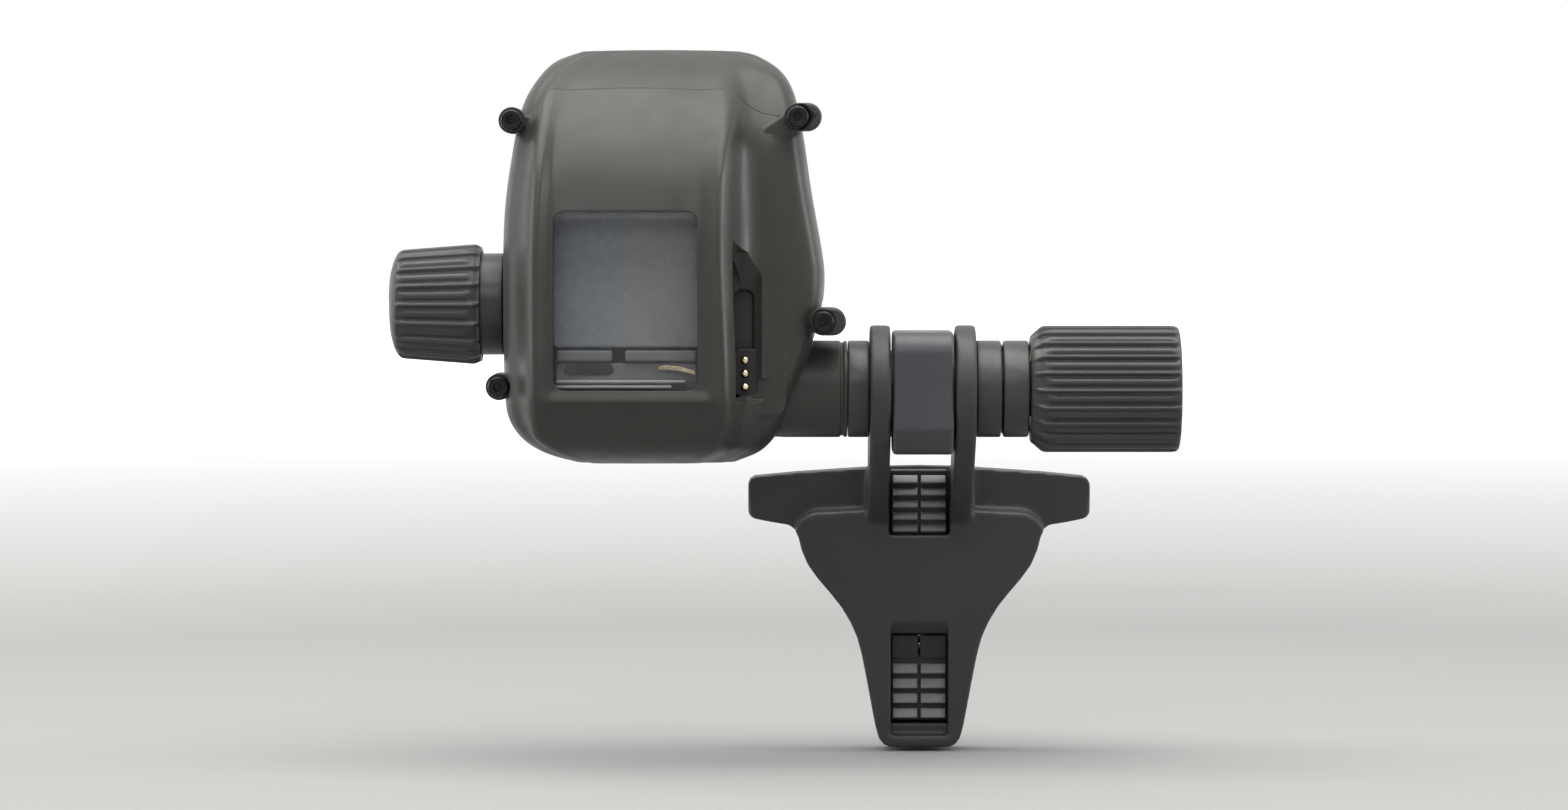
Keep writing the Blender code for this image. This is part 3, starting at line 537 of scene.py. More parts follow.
def outer_row(z):
    """The housing's outside at height z, (x, y), from the left edge round the front and back."""
    left, right = read(LEFT_EDGE, z), read(RIGHT_EDGE, z)
    visor, back = read(VISOR, z), read(BACK, z)
    flank_l, flank_r = max(read(LEFT_FLANK, z), visor), max(read(RIGHT_FLANK, z), visor)
    ridge_l, ridge_r = max(read(LEFT_RIDGE, z), left + 3.7), min(read(RIGHT_RIDGE, z), right - 7)
    height = read(RIDGE_HEIGHT, z)
    crest = visor - height
    foot = ridge_r + 5.0
    return [
        (left, MIDDLE_Y),
        (left, mix(MIDDLE_Y, flank_l, 0.6)),
        (left + 0.9, mix(MIDDLE_Y, flank_l, 0.88)),
        (left + 2.4, flank_l),
        (ridge_l - 1.0, mix(flank_l, crest, 0.85)),
        (ridge_l, crest),
        (ridge_l + 1.0, visor - height * 0.45),
        (ridge_l + 1.9, visor),
        (mix(ridge_l, ridge_r, 0.35), visor - 0.3),
        (mix(ridge_l, ridge_r, 0.65), visor - 0.3),
        (ridge_r - 2.9, visor),
        (ridge_r - 1.2, visor - height * 0.55),
        (ridge_r, crest),
        (ridge_r + 1.3, mix(crest, flank_r, 0.2)),
        (ridge_r + 2.8, mix(crest, flank_r, 0.75)),
        (foot, flank_r),
        (mix(foot, right - 1.4, 0.55), mix(flank_r, MIDDLE_Y, 0.05)),
        (right - 1.4, mix(MIDDLE_Y, flank_r, 0.88)),
        (right - 0.2, mix(MIDDLE_Y, flank_r, 0.68)),
        (right, MIDDLE_Y),
        (right - 0.1, mix(MIDDLE_Y, back, 0.6)),
        (right - 1.2, mix(MIDDLE_Y, back, 0.9)),
        (right - 4.0, back),
        (left + 4.0, back),
        (left + 1.2, mix(MIDDLE_Y, back, 0.9)),
        (left + 0.1, mix(MIDDLE_Y, back, 0.6)),
    ]


# How many points each stretch of outer_row's curve gets
ROW_STEPS = (4, 3, 4, 5, 4, 4, 4, 9, 9, 9, 4, 4, 4, 4, 5, 6, 5, 4, 4, 5, 4, 4, 12, 4, 4, 5)


def inner_slice(z, wall=WALL):
    """The outline at height z, a wall's thickness inside the housing."""
    left, right = read(LEFT_EDGE, z) + wall, read(RIGHT_EDGE, z) - wall
    visor, back = read(VISOR, z) + wall, read(BACK, z) - wall
    flank_l = max(read(LEFT_FLANK, z) + wall, visor)
    flank_r = max(read(RIGHT_FLANK, z) + wall, visor)
    ridge_l = max(read(LEFT_RIDGE, z), left + 1.9) + 1.2
    ridge_r = min(read(RIGHT_RIDGE, z), right - 5.2) - 1.2
    row = [
        (left, MIDDLE_Y),
        (left, mix(MIDDLE_Y, flank_l, 0.7)),
        (left + 1.6, flank_l),
        (ridge_l, visor),
        (ridge_r, visor),
        (ridge_r + 4.2, flank_r),
        (right - 1.2, mix(flank_r, MIDDLE_Y, 0.1)),
        (right, mix(MIDDLE_Y, flank_r, 0.55)),
        (right, MIDDLE_Y),
        (right - 0.6, mix(MIDDLE_Y, back, 0.8)),
        (right - 3.0, back),
        (left + 3.0, back),
        (left + 0.6, mix(MIDDLE_Y, back, 0.8)),
    ]
    return [(x, y, z) for x, y in row]


def smooth_row(points):
    """A closed centripetal Catmull-Rom curve through a row's points."""
    pts = np.array(points, float)
    out = []
    for i, steps in enumerate(ROW_STEPS):
        p0, p1, p2, p3 = (pts[(i + k) % len(pts)] for k in (-1, 0, 1, 2))
        t1 = max(np.linalg.norm(p1 - p0) ** 0.5, 1e-3)
        t2 = t1 + max(np.linalg.norm(p2 - p1) ** 0.5, 1e-3)
        t3 = t2 + max(np.linalg.norm(p3 - p2) ** 0.5, 1e-3)
        for k in range(steps):
            t = t1 + (t2 - t1) * k / steps
            a1 = (t1 - t) / t1 * p0 + t / t1 * p1
            a2 = (t2 - t) / (t2 - t1) * p1 + (t - t1) / (t2 - t1) * p2
            a3 = (t3 - t) / (t3 - t2) * p2 + (t - t2) / (t3 - t2) * p3
            b1 = (t2 - t) / t2 * a1 + t / t2 * a2
            b2 = (t3 - t) / (t3 - t1) * a2 + (t - t1) / (t3 - t1) * a3
            out.append((t2 - t) / (t2 - t1) * b1 + (t - t1) / (t2 - t1) * b2)
    return np.array(out)


def bump_at(value, centre, width):
    return np.exp(-(((value - centre) / width) ** 2))


def step_at(value, low, high):
    t = np.clip((value - low) / (high - low), 0, 1)
    return t * t * (3 - 2 * t)


def housing_shape(rows=104):
    """The whole housing's fine surface, as a closed solid."""
    share = np.linspace(0, 1, rows)
    eased_share = 0.45 * share + 0.55 * (0.5 - 0.5 * np.cos(math.pi * share))
    heights = HOUSING_LOW + (HOUSING_HIGH - HOUSING_LOW) * eased_share
    grid = np.array([smooth_row(outer_row(z)) for z in heights])
    kernel = np.array([1, 4, 6, 4, 1]) / 16
    padded = np.concatenate([grid[:1], grid[:1], grid, grid[-1:], grid[-1:]])
    relaxed = sum(w * padded[k : k + rows] for k, w in enumerate(kernel))
    ends = step_at(share, 0.0, 0.05) * (1 - step_at(share, 0.95, 1.0))
    grid = grid + (relaxed - grid) * ends[:, None, None]

    x, y, z = grid[:, :, 0], grid[:, :, 1], np.repeat(heights[:, None], grid.shape[1], 1)
    front = step_at(-y, 30.0, 33.0)
    rim = bump_at(z, 29.9, 0.9) * step_at(x, -55.0, -52.8) * (1 - step_at(x, -31.4, -29.2))
    scoop = bump_at(x, -23.4, 3.4) * bump_at(z, 72.4, 4.2)
    y = y - front * 0.9 * rim + step_at(-y, 26.0, 29.0) * 1.0 * scoop

    rings = [[(x[k, i], y[k, i], z[k, i]) for i in range(x.shape[1])] for k in range(rows)]
    return loft([*closing(rings[0], -0.16)[::-1], *rings, *closing(rings[-1], 0.2)])


def closing(ring, rise):
    """Smaller and smaller rings that close one end in a low dome."""
    pts = np.array(ring)
    centre = pts.mean(0)
    out = []
    for share in (0.93, 0.8, 0.6, 0.35, 0.12):
        inner = centre + (pts - centre) * share
        inner[:, 2] = pts[:, 2] + rise * (1 - share**2)
        out.append([tuple(p) for p in inner])
    return out


def ear_shapes(screw, reach, radius, root):
    outline = capsule(screw, (screw[0] + reach, screw[1]), radius)
    ear = soft_prism("Y", outline, EAR_FRONT_Y, EAR_BACK_Y, 0.45)
    web = soft_prism("Y", capsule(root, screw, radius * 0.75), EAR_FRONT_Y + 2.0, EAR_BACK_Y + 1, 0.5)
    shank = rod("Y", screw, -36, -27.6, 1.05, 24)
    head = rod("Y", screw, -50, EAR_FRONT_Y + 0.25, 1.78, 32)
    return ear, web, shank, head


def axle_pin_bore():
    """The hole for the pin that holds the axle in its boss."""
    return rod("Z", (-21.0, AXLE[0]), 20, 36.9, 1.1, 24)


def housing():
    """The front cover, the rear housing and the seal between them, cut from one fine surface."""
    body = housing_shape()
    cavity = loft([inner_slice(z) for z in CAVITY_SLICES])
    ears = [ear_shapes(*ear) for ear in EARS]
    joined = [shape for ear, web, _, _ in ears for shape in (ear, web)]
    shanks, heads = [e[2] for e in ears], [e[3] for e in ears]

    outer_gasket = loft([inner_slice(z, 0.9) for z in CAVITY_SLICES])

    front = raw("front_cover_skin", body)
    frame_outline = rounded_box(*grown(WINDOW_LOW, WINDOW_HIGH, 2.0), 2.6)
    opening = prism("Y", rounded_box(WINDOW_LOW, WINDOW_HIGH, 1.6), -50, -38)
    carve(
        front,
        ("DIFFERENCE", cavity),
        ("UNION", *joined),
        ("INTERSECT", box((-80, -60, 10), (0, SPLIT_Y - SEAM, 90))),
        ("UNION", prism("Y", frame_outline, -42.2, FRAME_Y)),
        ("DIFFERENCE", opening),
        ("UNION", prism("Y", rounded_box((-29.0, 27.6), (-19.8, 52.4), 1.5), -34.6, SPLIT_Y - SEAM)),
        *(("DIFFERENCE", cut) for cut in pocket_cuts()),
        ("DIFFERENCE", *shanks, *heads),
    )
    finish(front, "front_cover", weighted=True)

    groove_r = 6.75
    boss_profile = [(-30, RING_R), (-12.0, RING_R), (-11.8, groove_r), (-11.5, groove_r), (-11.3, RING_R),
                    (-10.9, 6.9)]
    boss = turned("X", AXLE, boss_profile, 96)
    rear = raw("rear_housing_skin", body)
    panel = soft_prism("Y", rounded_box((-55.5, 27.5), (-33.0, 72.0), 4.0), -10.35, -5, 0.2)
    bores = [rod("X", AXLE, -27.3, -5, AXLE_R + 0.1, 64), axle_pin_bore(), rod("X", WHEEL, -70, -55, 4.6, 48),
             rod("Y", SENSOR, -20, -5, 2.0, 24), rod("Y", SENSOR, -11.0, -5, 4.6, 64)]
    carve(
        rear,
        ("DIFFERENCE", cavity),
        ("UNION", *joined),
        ("INTERSECT", box((-80, SPLIT_Y + SEAM, 10), (0, 0, 90))),
        ("UNION", boss),
        ("DIFFERENCE", *bores, panel, *shanks),
    )
    finish(rear, "rear_housing", weighted=True)

    seal = raw("housing_gasket", outer_gasket)
    carve(
        seal,
        ("DIFFERENCE", cavity),
        ("INTERSECT", box((-80, SPLIT_Y - SEAM / 2, 10), (0, SPLIT_Y + SEAM / 2, 90))),
        ("DIFFERENCE", *shanks),
    )
    finish(seal, "housing_seal")


def pocket_cuts():
    """The slot beside the right ridge, with a sloping way in from above, and a shallow recess at its foot."""

    def tapered(radius, rows):
        return loft([[(x, y, z) for x, z in rounded_box(low, high, radius)] for y, low, high in rows])

    slot = tapered(1.1, ((-42.2, (-27.38, 29.2), (-21.4, 53.6)), (-36.4, (-27.28, 29.7), (-22.3, 50.8)),
                         (-35.0, (-27.2, 30.2), (-23.4, 47.6)), (-34.5, (-27.16, 30.4), (-24.1, 45.9)),
                         (-34.3, (-27.14, 30.5), (-24.3, 45.5)), (-33.2, (-27.1, 30.6), (-24.5, 45.2))))
    recess = tapered(1.2, ((-42.4, (-26.0, 29.1), (-20.9, 33.4)), (-35.3, (-25.6, 29.5), (-21.3, 33.0)),
                           (-34.8, (-25.3, 29.8), (-21.6, 32.7))))
    return slot, recess


def window_pane():
    """The window follows the visor's curve, just below the rim round it."""
    low, high = grown(WINDOW_LOW, WINDOW_HIGH, -0.02)

    def ring(inset, sink, radius):
        outline = rounded_box(*grown(low, high, -inset), max(radius - inset, 0.2))
        return [(x, read(VISOR, z) + sink, z) for x, z in outline]

    front = [ring(inset, sink, 1.6) for inset, sink in ((9.9, 0.02), (7.0, 0.02), (4.0, 0.02), (2.0, 0.02),
                                                        (0.6, 0.02), (0.12, 0.03), (0.03, 0.06), (0.0, 0.15))]
    flange_y, back_y = -39.8, -38.9
    flange = grown(WINDOW_LOW, WINDOW_HIGH, 1.4)
    back = [
        [(x, flange_y, z) for x, z in rounded_box(low, high, 1.6)],
        [(x, flange_y, z) for x, z in rounded_box(*flange, 2.6)],
        [(x, back_y, z) for x, z in rounded_box(*flange, 2.6)],
    ]
    finish(raw("eye_window_pane", loft(front + back)), "eye_window")
    seal_front = FRAME_Y + GAP
    seal_back = seal_front + 0.6
    corners = ((seal_front, 0.3), (seal_front, 1.3), (seal_back, 1.3), (seal_back, 0.3))
    seal = [
        [(x, y, z) for x, z in rounded_box(*grown(WINDOW_LOW, WINDOW_HIGH, by), 2.2)]
        for y, by in eased(corners, 0.2)
    ]
    finish(raw("window_gasket", loft(seal, closed=True)), "window_seal")


def optics():
    """The prism, the light shelf under it, the sensor's wall and white strips at the window's foot, painted
    in as highlights.
    """
    prism_outline = rounded_box((-52.9, 37.3), (-31.9, 57.2), 0.8)
    finish(raw("prism_block", soft_prism("Y", prism_outline, -38.0, -31.3, 0.35)), "eyepiece_prism")
    plate_outline = rounded_box((-52.8, 30.2), (-32.0, 57.0), 1.2)
    plate = raw("carrier_plate", soft_prism("Y", plate_outline, -31.0, -29.4, 0.2))
    shelves = [soft_prism("X", rounded_box((-38.3, 35.3), (-30.2, 36.9), 0.35), *ends, 0.3)
               for ends in ((-52.2, -44.4), (-42.6, -32.6))]
    wall = soft_prism("Y", rounded_box((-52.4, 30.9), (-32.4, 35.1), 0.8), -37.4, -36.7, 0.15)
    carve(plate, ("UNION", *shelves),
          ("DIFFERENCE", prism("Y", rounded_box((-48.4, 41.5), (-36.4, 50.5), 0.4), -33, -28)))
    finish(plate, "display_carrier", look=CARRIER)
    finish(raw("sensor_wall", wall), "display_carrier", look=CARRIER)
    # White strips painted in as the bright highlight lines along the window's foot.
    for k, (z, end) in enumerate(((31.5, -36.0), (32.25, -34.0)), 1):
        strip = soft_prism("X", rounded_box((-38.7, z), (-37.6, z + 0.42), 0.15), -52.4, end, 0.15)
        finish(raw(f"foot_highlight_strip_{k}", strip), "display_carrier", look=PAINTED_HIGHLIGHT_WHITE)
    upper = [(x, 33.75 + 1.0 * math.cos((x + 37.0) / 3.4)) for x in np.linspace(-37.8, -32.6, 14)]
    ribbon = upper + [(x, z - 0.6) for x, z in reversed(upper)]
    finish(raw("flex_ribbon", prism("Y", ribbon, -38.3, -37.5)), "sensor_flex")


# Knobs and rings


KNOB_RIBS, WHEEL_RIBS = 22, 18


def rib_height(share, count):
    """The heights, from 0 to 1, of a grip's narrow ridges and of the broad pads between them."""
    u = (share * count) % 1.0
    ridge = max(0.0, 1 - (min(u, 1 - u) / 0.14) ** 2) ** 0.6
    pad = max(0.0, 1 - (abs(u - 0.5) / 0.24) ** 2) ** 0.8
    return ridge, pad


def grip(count, depth, pad_from, pad_to, ribs_from, ribs_to):
    """The change of radius that cuts a grip's ribs. The pads start later than the ridges between them."""

    def cut(share, along, radius):
        ridge, pad = rib_height(share, count)
        inside = step_at(along, *ribs_from) * (1 - step_at(along, *ribs_to))
        padded = step_at(along, *pad_from) * (1 - step_at(along, *pad_to))
        height = max(ridge, 0.62 * pad * padded)
        return radius - depth * (1 - height) * inside

    return cut


def stations(profile, start, end, step):
    """Adds points along a profile's long outer run."""
    out = []
    for a, b in zip(profile, profile[1:]):
        out.append(a)
        if a[0] >= start - 1e-6 and b[0] <= end + 1e-6 and b[0] - a[0] > step * 1.5:
            n = int((b[0] - a[0]) / step)
            out += [tuple(mix(np.array(a), np.array(b), k / n)) for k in range(1, n)]
    return out + [profile[-1]]


def lock_knob():
    outer_r = 9.2
    corners = ((24.3, 6.35, 0), (15.5, 6.35, 0.2), (15.5, 7.6, 0.35), (17.3, outer_r, 0.5),
               (37.1, outer_r, 1.3), (37.1, 6.9, 0.15), (26.0, 6.9, 0), (26.0, 4.4, 0), (24.3, 4.4, 0))
    outside = stations(eased(corners, 0), 15.4, 37.2, 0.55)
    ribs = grip(KNOB_RIBS, 0.62, (17.3, 18.6), (35.9, 36.5), (15.9, 16.9), (36.2, 36.9))

    def cut(share, along, radius):
        return ribs(share, along, radius) if radius > 7.2 else radius

    shape = turned("X", AXLE, outside, KNOB_RIBS * 20, hollow=True, cut=cut)
    finish(raw("lock_knob_grip", shape), "lock_knob", angle=50)
    cap = eased(((35.6, 0.4, 0), (35.6, 6.6, 0.1), (36.75, 6.6, 0.35), (36.95, 5.2, 0.3), (36.6, 4.6, 0.3),
                 (36.6, 0.4, 0)), 0)
    finish(raw("lock_knob_cap", turned("X", AXLE, cap, 96)), "knob_end_cap")
    insert = ring_piece(15.7, 24.0, 4.1, 6.2, 0.2)
    finish(raw("lock_knob_insert", insert), "knob_insert")


def push_wheel():
    corners = ((-73.4, 3.15, 0), (-68.3, 3.15, 0.1), (-68.3, 7.75, 0.2), (-63.7, 7.75, 0.12),
               (-63.7, 8.2, 0.2), (-64.6, 8.8, 0.5), (-75.5, 7.95, 0.7), (-76.4, 6.6, 0.9), (-77.0, 4.4, 0.9),
               (-77.1, 2.3, 0.15), (-75.6, 2.3, 0), (-75.6, 1.0, 0), (-73.4, 1.0, 0))
    flipped = stations([(-a, r) for a, r in eased(corners, 0)], 63.6, 76.0, 0.55)
    profile = [(-a, r) for a, r in flipped]
    ribs = grip(WHEEL_RIBS, 0.55, (-75.6, -74.9), (-65.9, -64.9), (-76.0, -75.3), (-64.3, -63.8))

    def cut(share, along, radius):
        ribbed = radius > 7.78 or along < -75.2 and radius > 7.0
        return ribs(share, along, radius) if ribbed else radius

    shape = turned("X", WHEEL, profile, WHEEL_RIBS * 22, hollow=True, cut=cut)
    finish(raw("push_wheel_grip", shape), "push_wheel", angle=50)


def small_turned_parts():
    rings = {
        "inner_friction_ring": (-10.8, -CHEEK_OUT - 0.1, AXLE_R + 0.15, RING_R, 0.3),
        "outer_friction_ring": (CHEEK_OUT + 0.1, 11.3, AXLE_R + 0.15, RING_R, 0.3),
        "friction_bush": (-4.3, 4.3, AXLE_R + 0.1, 6.6, 0.1),
        "pressure_ring": (11.6, 15.3, AXLE_R + 0.15, RING_R, 0.4),
    }
    for node, (start, end, inner, outer, rounding) in rings.items():
        finish(raw(f"{node}_turned", ring_piece(start, end, inner, outer, rounding)), node)
    points, faces = ring_piece(11.39, 11.5, AXLE_R + 0.15, 6.5, 0.03)
    bent = []
    for x, y, z in points:
        share = math.atan2(z - AXLE[1], y - AXLE[0]) / (2 * math.pi)
        bent.append((x + 0.08 * math.sin(6 * math.pi * share), y, z))
    finish(raw("wave_washer_turned", (bent, faces)), "wave_washer", look=FINISH["black_steel"])

    shaft = ((-27.0, 0.5, 0), (-27.0, AXLE_R, 0.5), (15.2, AXLE_R, 0.4), (15.2, 4.0, 0.1), (27.0, 4.0, 0.3),
             (27.0, 1.2, 0.1), (20.0, 1.2, 0), (20.0, 0.4, 0))
    axle = raw("swing_axle_turned", turned("X", AXLE, eased(shaft, 0), 72))
    carve(axle, ("DIFFERENCE", axle_pin_bore()))
    finish(axle, "swing_axle")

    bush = ((-66.5, 3.1, 0.1), (-66.5, 7.35, 0.5), (-60.5, 7.35, 0.3), (-60.5, 4.4, 0.1), (-56.0, 4.4, 0.2),
            (-56.0, 3.1, 0.1))
    finish(raw("wheel_bush_turned", turned("X", WHEEL, eased(bush, 0), hollow=True)), "wheel_bush")
    nut = eased(((-58.0, 4.55), (-58.0, 5.8), (-56.4, 5.8), (-56.4, 4.55)), 0.25)
    finish(raw("bush_nut_turned", turned("X", WHEEL, nut, 48, hollow=True)), "bush_nut")

    disc_profile = eased(((-10.8, 0.3, 0), (-10.8, 4.3, 0.1), (-10.0, 4.3, 0.4), (-10.0, 0.3, 0)), 0)
    disc = raw("sensor_cover_disc", turned("Y", SENSOR, disc_profile, 72))
    holes = []
    for k in range(5):
        turn = 2 * math.pi * k / 5
        at = (SENSOR[0] + 2.2 * math.cos(turn), SENSOR[1] + 2.2 * math.sin(turn))
        holes.append(rod("Y", at, -12, -8, 0.5, 24))
    finish(carve(disc, ("DIFFERENCE", *holes)), "sensor_cover")


def cap_screw(name, node, axis, centre, top, head_end, tip, head_r, shank_r):
    """A cap screw with a hexagonal socket, a rounded head and a threaded shank."""
    down = 1 if tip > top else -1
    edge = head_r * 0.22
    corners = [(top + down * 0.02, 0.2, 0), (top, head_r, edge), (head_end, head_r, 0.08),
               (head_end, shank_r, 0.05)]
    length, pitch = abs(tip - head_end), 0.4
    turns = int((length - 0.6) / pitch)
    for k in range(turns):
        along = head_end + down * (0.3 + pitch * k)
        corners += [(along, shank_r, 0), (along + down * 0.2, shank_r * 0.86, 0)]
    corners += [(tip - down * 0.25, shank_r * 0.9, 0), (tip, shank_r * 0.6, 0)]
    obj = raw(name, turned(axis, centre, eased(corners, 0, closed=False), 40))
    socket_r = head_r * 0.52
    hexagon = []
    for k in range(6):
        turn = math.pi * k / 3 + 0.4
        hexagon.append((centre[0] + socket_r * math.cos(turn), centre[1] + socket_r * math.sin(turn)))
    depth = abs(head_end - top) * 0.75
    low, high = sorted((top - down * 1.0, top + down * depth))
    carve(obj, ("DIFFERENCE", prism(axis, hexagon, low, high)))
    finish(obj, node)


def springs():
    """Builds each spring's coil and gives it a mesh of its own."""
    latch_middle = (0, -3.6)
    rows = (
        ("wheel_return_spring", "X", WHEEL, (-53.9, -50.9, 3.3, 0.25, 3), -50.9, "wheel_push", 0.5),
        ("upper_latch_spring", "Z", latch_middle, (0.6, 5.6, 1.2, 0.22, 5), 0.6, "upper_release", 0.56),
        ("lower_latch_spring", "Z", latch_middle, (-8.4, -2.0, 1.2, 0.22, 5), -2.0, "lower_release", 0.609),
    )
    for node, axis, centre, wire, fixed_end, joint, keep in rows:
        obj = finish(raw(f"{node}_coil", coil(axis, centre, *wire)), node, angle=60)
        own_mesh(obj)


def screws():
    for k, (screw, *_) in enumerate(EARS, 1):
        node = f"cover_screw_{k}"
        cap_screw(f"{node}_fine", node, "Y", screw, -36.7, EAR_FRONT_Y, -28.0, 1.5, 0.9)
    for k, at in enumerate(BRIDGE_SCREWS, 1):
        node = f"bridge_screw_{k}"
        cap_screw(f"{node}_fine", node, "Y", at, -0.15, -0.95, -4.4, 1.8, 0.9)
    cap_screw("wheel_screw_fine", "wheel_screw", "X", WHEEL, -77.0, -75.7, -69.5, 1.8, 0.85)
    cap_screw("axle_stop_screw_fine", "axle_stop_screw", "X", AXLE, 29.0, 27.2, 20.4, 4.8, 1.1)


# The bracket


def bridge_outline():
    """The bracket's shield shape, (x, z): two wings at the top and a narrow foot."""
    lower = [(0.0, -22.6), (4.4, -22.5), (5.3, -22.1), (6.0, -21.2), (6.5, -19.4), (7.0, -16.8), (7.7, -13.0),
             (8.5, -8.9), (9.2, -6.3), (10.2, -4.0), (11.6, -1.7), (13.2, 0.3), (15.0, 2.4), (16.5, 4.5),
             (17.4, 6.6), (17.9, 8.6), (18.4, 9.6), (19.3, 10.2)]
    wing = [(21.8, 10.6), (24.4, 11.1), (25.0, 11.5), (25.3, 12.1), (25.3, 16.3), (25.0, 17.0), (24.3, 17.4),
            (18.0, 18.0), (12.0, 18.4), (6.0, 18.8), (0.0, 18.9)]
    half = lower + wing
    return half + [(-x, z) for x, z in reversed(half) if x > 0]


def tangent(point, centre, radius, side):
    dy, dz = point[0] - centre[0], point[1] - centre[1]
    towards, spread = math.atan2(dz, dy), math.acos(radius / math.hypot(dy, dz))
    return math.degrees(towards + side * spread)


def cheek_outline():
    lower, upper = (BRIDGE_FRONT_Y, 10.6), (-3.2, 16.6)
    start, end = tangent(lower, AXLE, CHEEK_R, -1), tangent(upper, AXLE, CHEEK_R, 1)
    return arc(AXLE, CHEEK_R, start % 360, end % 360, 60) + [upper, (-3.2, 10.6), lower]


def fine_mesh(obj, voxel):
    """Rebuilds a solid as an even mesh, so that its edges can be eased like a moulding's."""
    modifier = obj.modifiers.new("even", "REMESH")
    modifier.mode = "VOXEL"
    modifier.voxel_size = voxel * MM
    return settle(obj)


def ease_edges(obj, rounds, extra=None, extra_rounds=0):
    """Smooths a fine mesh a little everywhere, and more where extra(points) says."""
    mesh = obj.data
    points = np.empty(len(mesh.vertices) * 3)
    mesh.vertices.foreach_get("co", points)
    points = points.reshape(-1, 3)
    edges = np.empty(len(mesh.edges) * 2, int)
    mesh.edges.foreach_get("vertices", edges)
    a, b = edges.reshape(-1, 2).T
    count = np.bincount(np.concatenate([a, b]), minlength=len(points))[:, None]
    share = extra(points / MM)[:, None] if extra else 0.0
    for k in range(rounds + extra_rounds):
        total = np.zeros_like(points)
        for axis in range(3):
            total[:, axis] = np.bincount(a, points[b, axis], len(points)) + np.bincount(
                b, points[a, axis], len(points))
        weight = 0.5 if k < rounds else 0.5 * share
        points = points + (total / count - points) * weight
    mesh.vertices.foreach_set("co", points.ravel())
    mesh.update()
    return obj


def bridge():
    """The forked bracket: shield plate, set-back wings and the two cheeks, in one moulding."""
    main = raw("mask_bridge_moulding", prism("Y", bridge_outline(), BRIDGE_FRONT_Y, BRIDGE_BACK_Y))
    crown = [(-40, 40), (-40, 8.0)] + arc((-14.6, 8.4), 4.0, 185, 100, 6) + [(0.0, 12.9)]
    crown += arc((14.6, 8.4), 4.0, 80, -5, 6) + [(40, 8.0), (40, 40)]
    cheeks = [soft_prism("X", cheek_outline(), *sorted((side * CHEEK_IN, side * CHEEK_OUT)), 0.35)
              for side in (-1, 1)]
    bores = [rod("X", AXLE, -12, 12, AXLE_R + 0.2, 96), rod("X", KNUCKLE_PIN, -12, 12, 1.0, 32)]
    latch_ways = [
        box((-SLOT, -12, 8.8), (SLOT, BRIDGE_BACK_Y + 1, 30)),
        box((-SLOT, SKIN_BACK_Y, 0.0), (SLOT, 0, 30)),
        box((-5.8, SKIN_BACK_Y, 0.0), (5.8, 0, 9.4)),
        lower_window(),
        box((-SLOT, SKIN_BACK_Y, -19.1), (SLOT, 0, -1.4)),
        box((-5.3, SKIN_BACK_Y, -19.1), (5.3, 0, -12.0)),
    ]
    screw_holes = [rod("Y", at, -4.6, 0, 1.0, 24) for at in BRIDGE_SCREWS]
    carve(
        main,
        ("DIFFERENCE", prism("Y", crown, -20, BAND_FRONT_Y)),
        ("UNION", *cheeks),
        ("DIFFERENCE", *bores, *latch_ways, *screw_holes),
    )
    fine_mesh(main, voxel=0.26)

    def roots(points):
        x, y, z = points.T
        near = step_at(np.abs(x), 5.6, 6.6) * (1 - step_at(np.abs(x), 9.5, 11.5))
        near *= step_at(z, 9.0, 10.5) * (1 - step_at(z, 17.0, 18.5)) * step_at(y, -13.0, -10.5)
        shoulder = bump_at(z, 12.4, 1.4) * (1 - step_at(y, -4.8, -4.2)) * step_at(np.abs(x), 5.6, 6.4)
        return np.clip(near + shoulder, 0, 1) * (1 - step_at(y, -3.6, -2.6))

    ease_edges(main, 3, roots, 26)
    finish(main, "mask_bridge", angle=60)

    plate = raw("back_plate_moulding", soft_prism("Y", bridge_outline(), PLATE_FRONT_Y, 0, 0.25))
    cuts = [box((-2.8, -5, 9.6), (2.8, 5, 15.4)), box((-2.8, -5, -17.6), (2.8, 5, -11.8))]
    for at in BRIDGE_SCREWS:
        cuts += [rod("Y", at, -1.05, 5, 2.0, 48), rod("Y", at, -5, 5, 1.05, 32)]
    finish(carve(plate, ("DIFFERENCE", *cuts)), "back_plate")


def latch(name, low, high, ears, ear_reach, ribs, hook_z, tongue=None):
    """A sliding latch bar with two columns of thumb ribs, each sloping back towards its top. The ribs are
    painted light as lit faces, and the bar near black as the shade between them.
    """
    bar = raw(f"{name}_bar", soft_prism("X", rounded_box((-5.2, low), (-2.2, high), 0.3), -4.2, 4.2, 0.25))
    first, pitch, count = ribs
    parts = [box((-ear_reach, -4.9, ears[0]), (ear_reach, -2.5, ears[1])),
             box((-2.0, -3.0, hook_z), (2.0, -0.6, hook_z + 1.4))]
    if tongue:
        parts += [box((x0, -5.5, high - 0.5), (x1, -5.1, tongue)) for x0, x1 in ((-4.0, -0.15), (0.15, 4.0))]
    # The bar is painted near black, as the shade between the ribs.
    finish(carve(bar, ("UNION", *parts)), name, look=PAINTED_SHADE_PLASTIC)
    # The ribs are painted light grey, as faces lit from above.
    profile = [(-4.9, 0.0), (-6.0, 0.02), (-6.1, 0.11), (-5.42, 0.66), (-4.9, 0.68)]
    teeth = []
    for row in range(count):
        outline = eased([(y, first + pitch * (row + rise)) for y, rise in profile], 0.12)
        teeth += [soft_prism("X", outline, *ends, 0.06, 2) for ends in ((-3.9, -0.25), (0.25, 3.9))]
    finish(raw(f"{name}_ribs", gathered(teeth)), name, look=RIBS_PAINTED_LIT)


def latches():
    latch("upper_latch", 6.2, 18.4, (6.2, 9.1), 5.5, (9.2, 1.8, 5), 12.4)
    latch("lower_latch", -18.8, -9.0, (-18.8, -15.2), 5.0, (-18.4, 2.2, 4), -16.4, tongue=-6.1)


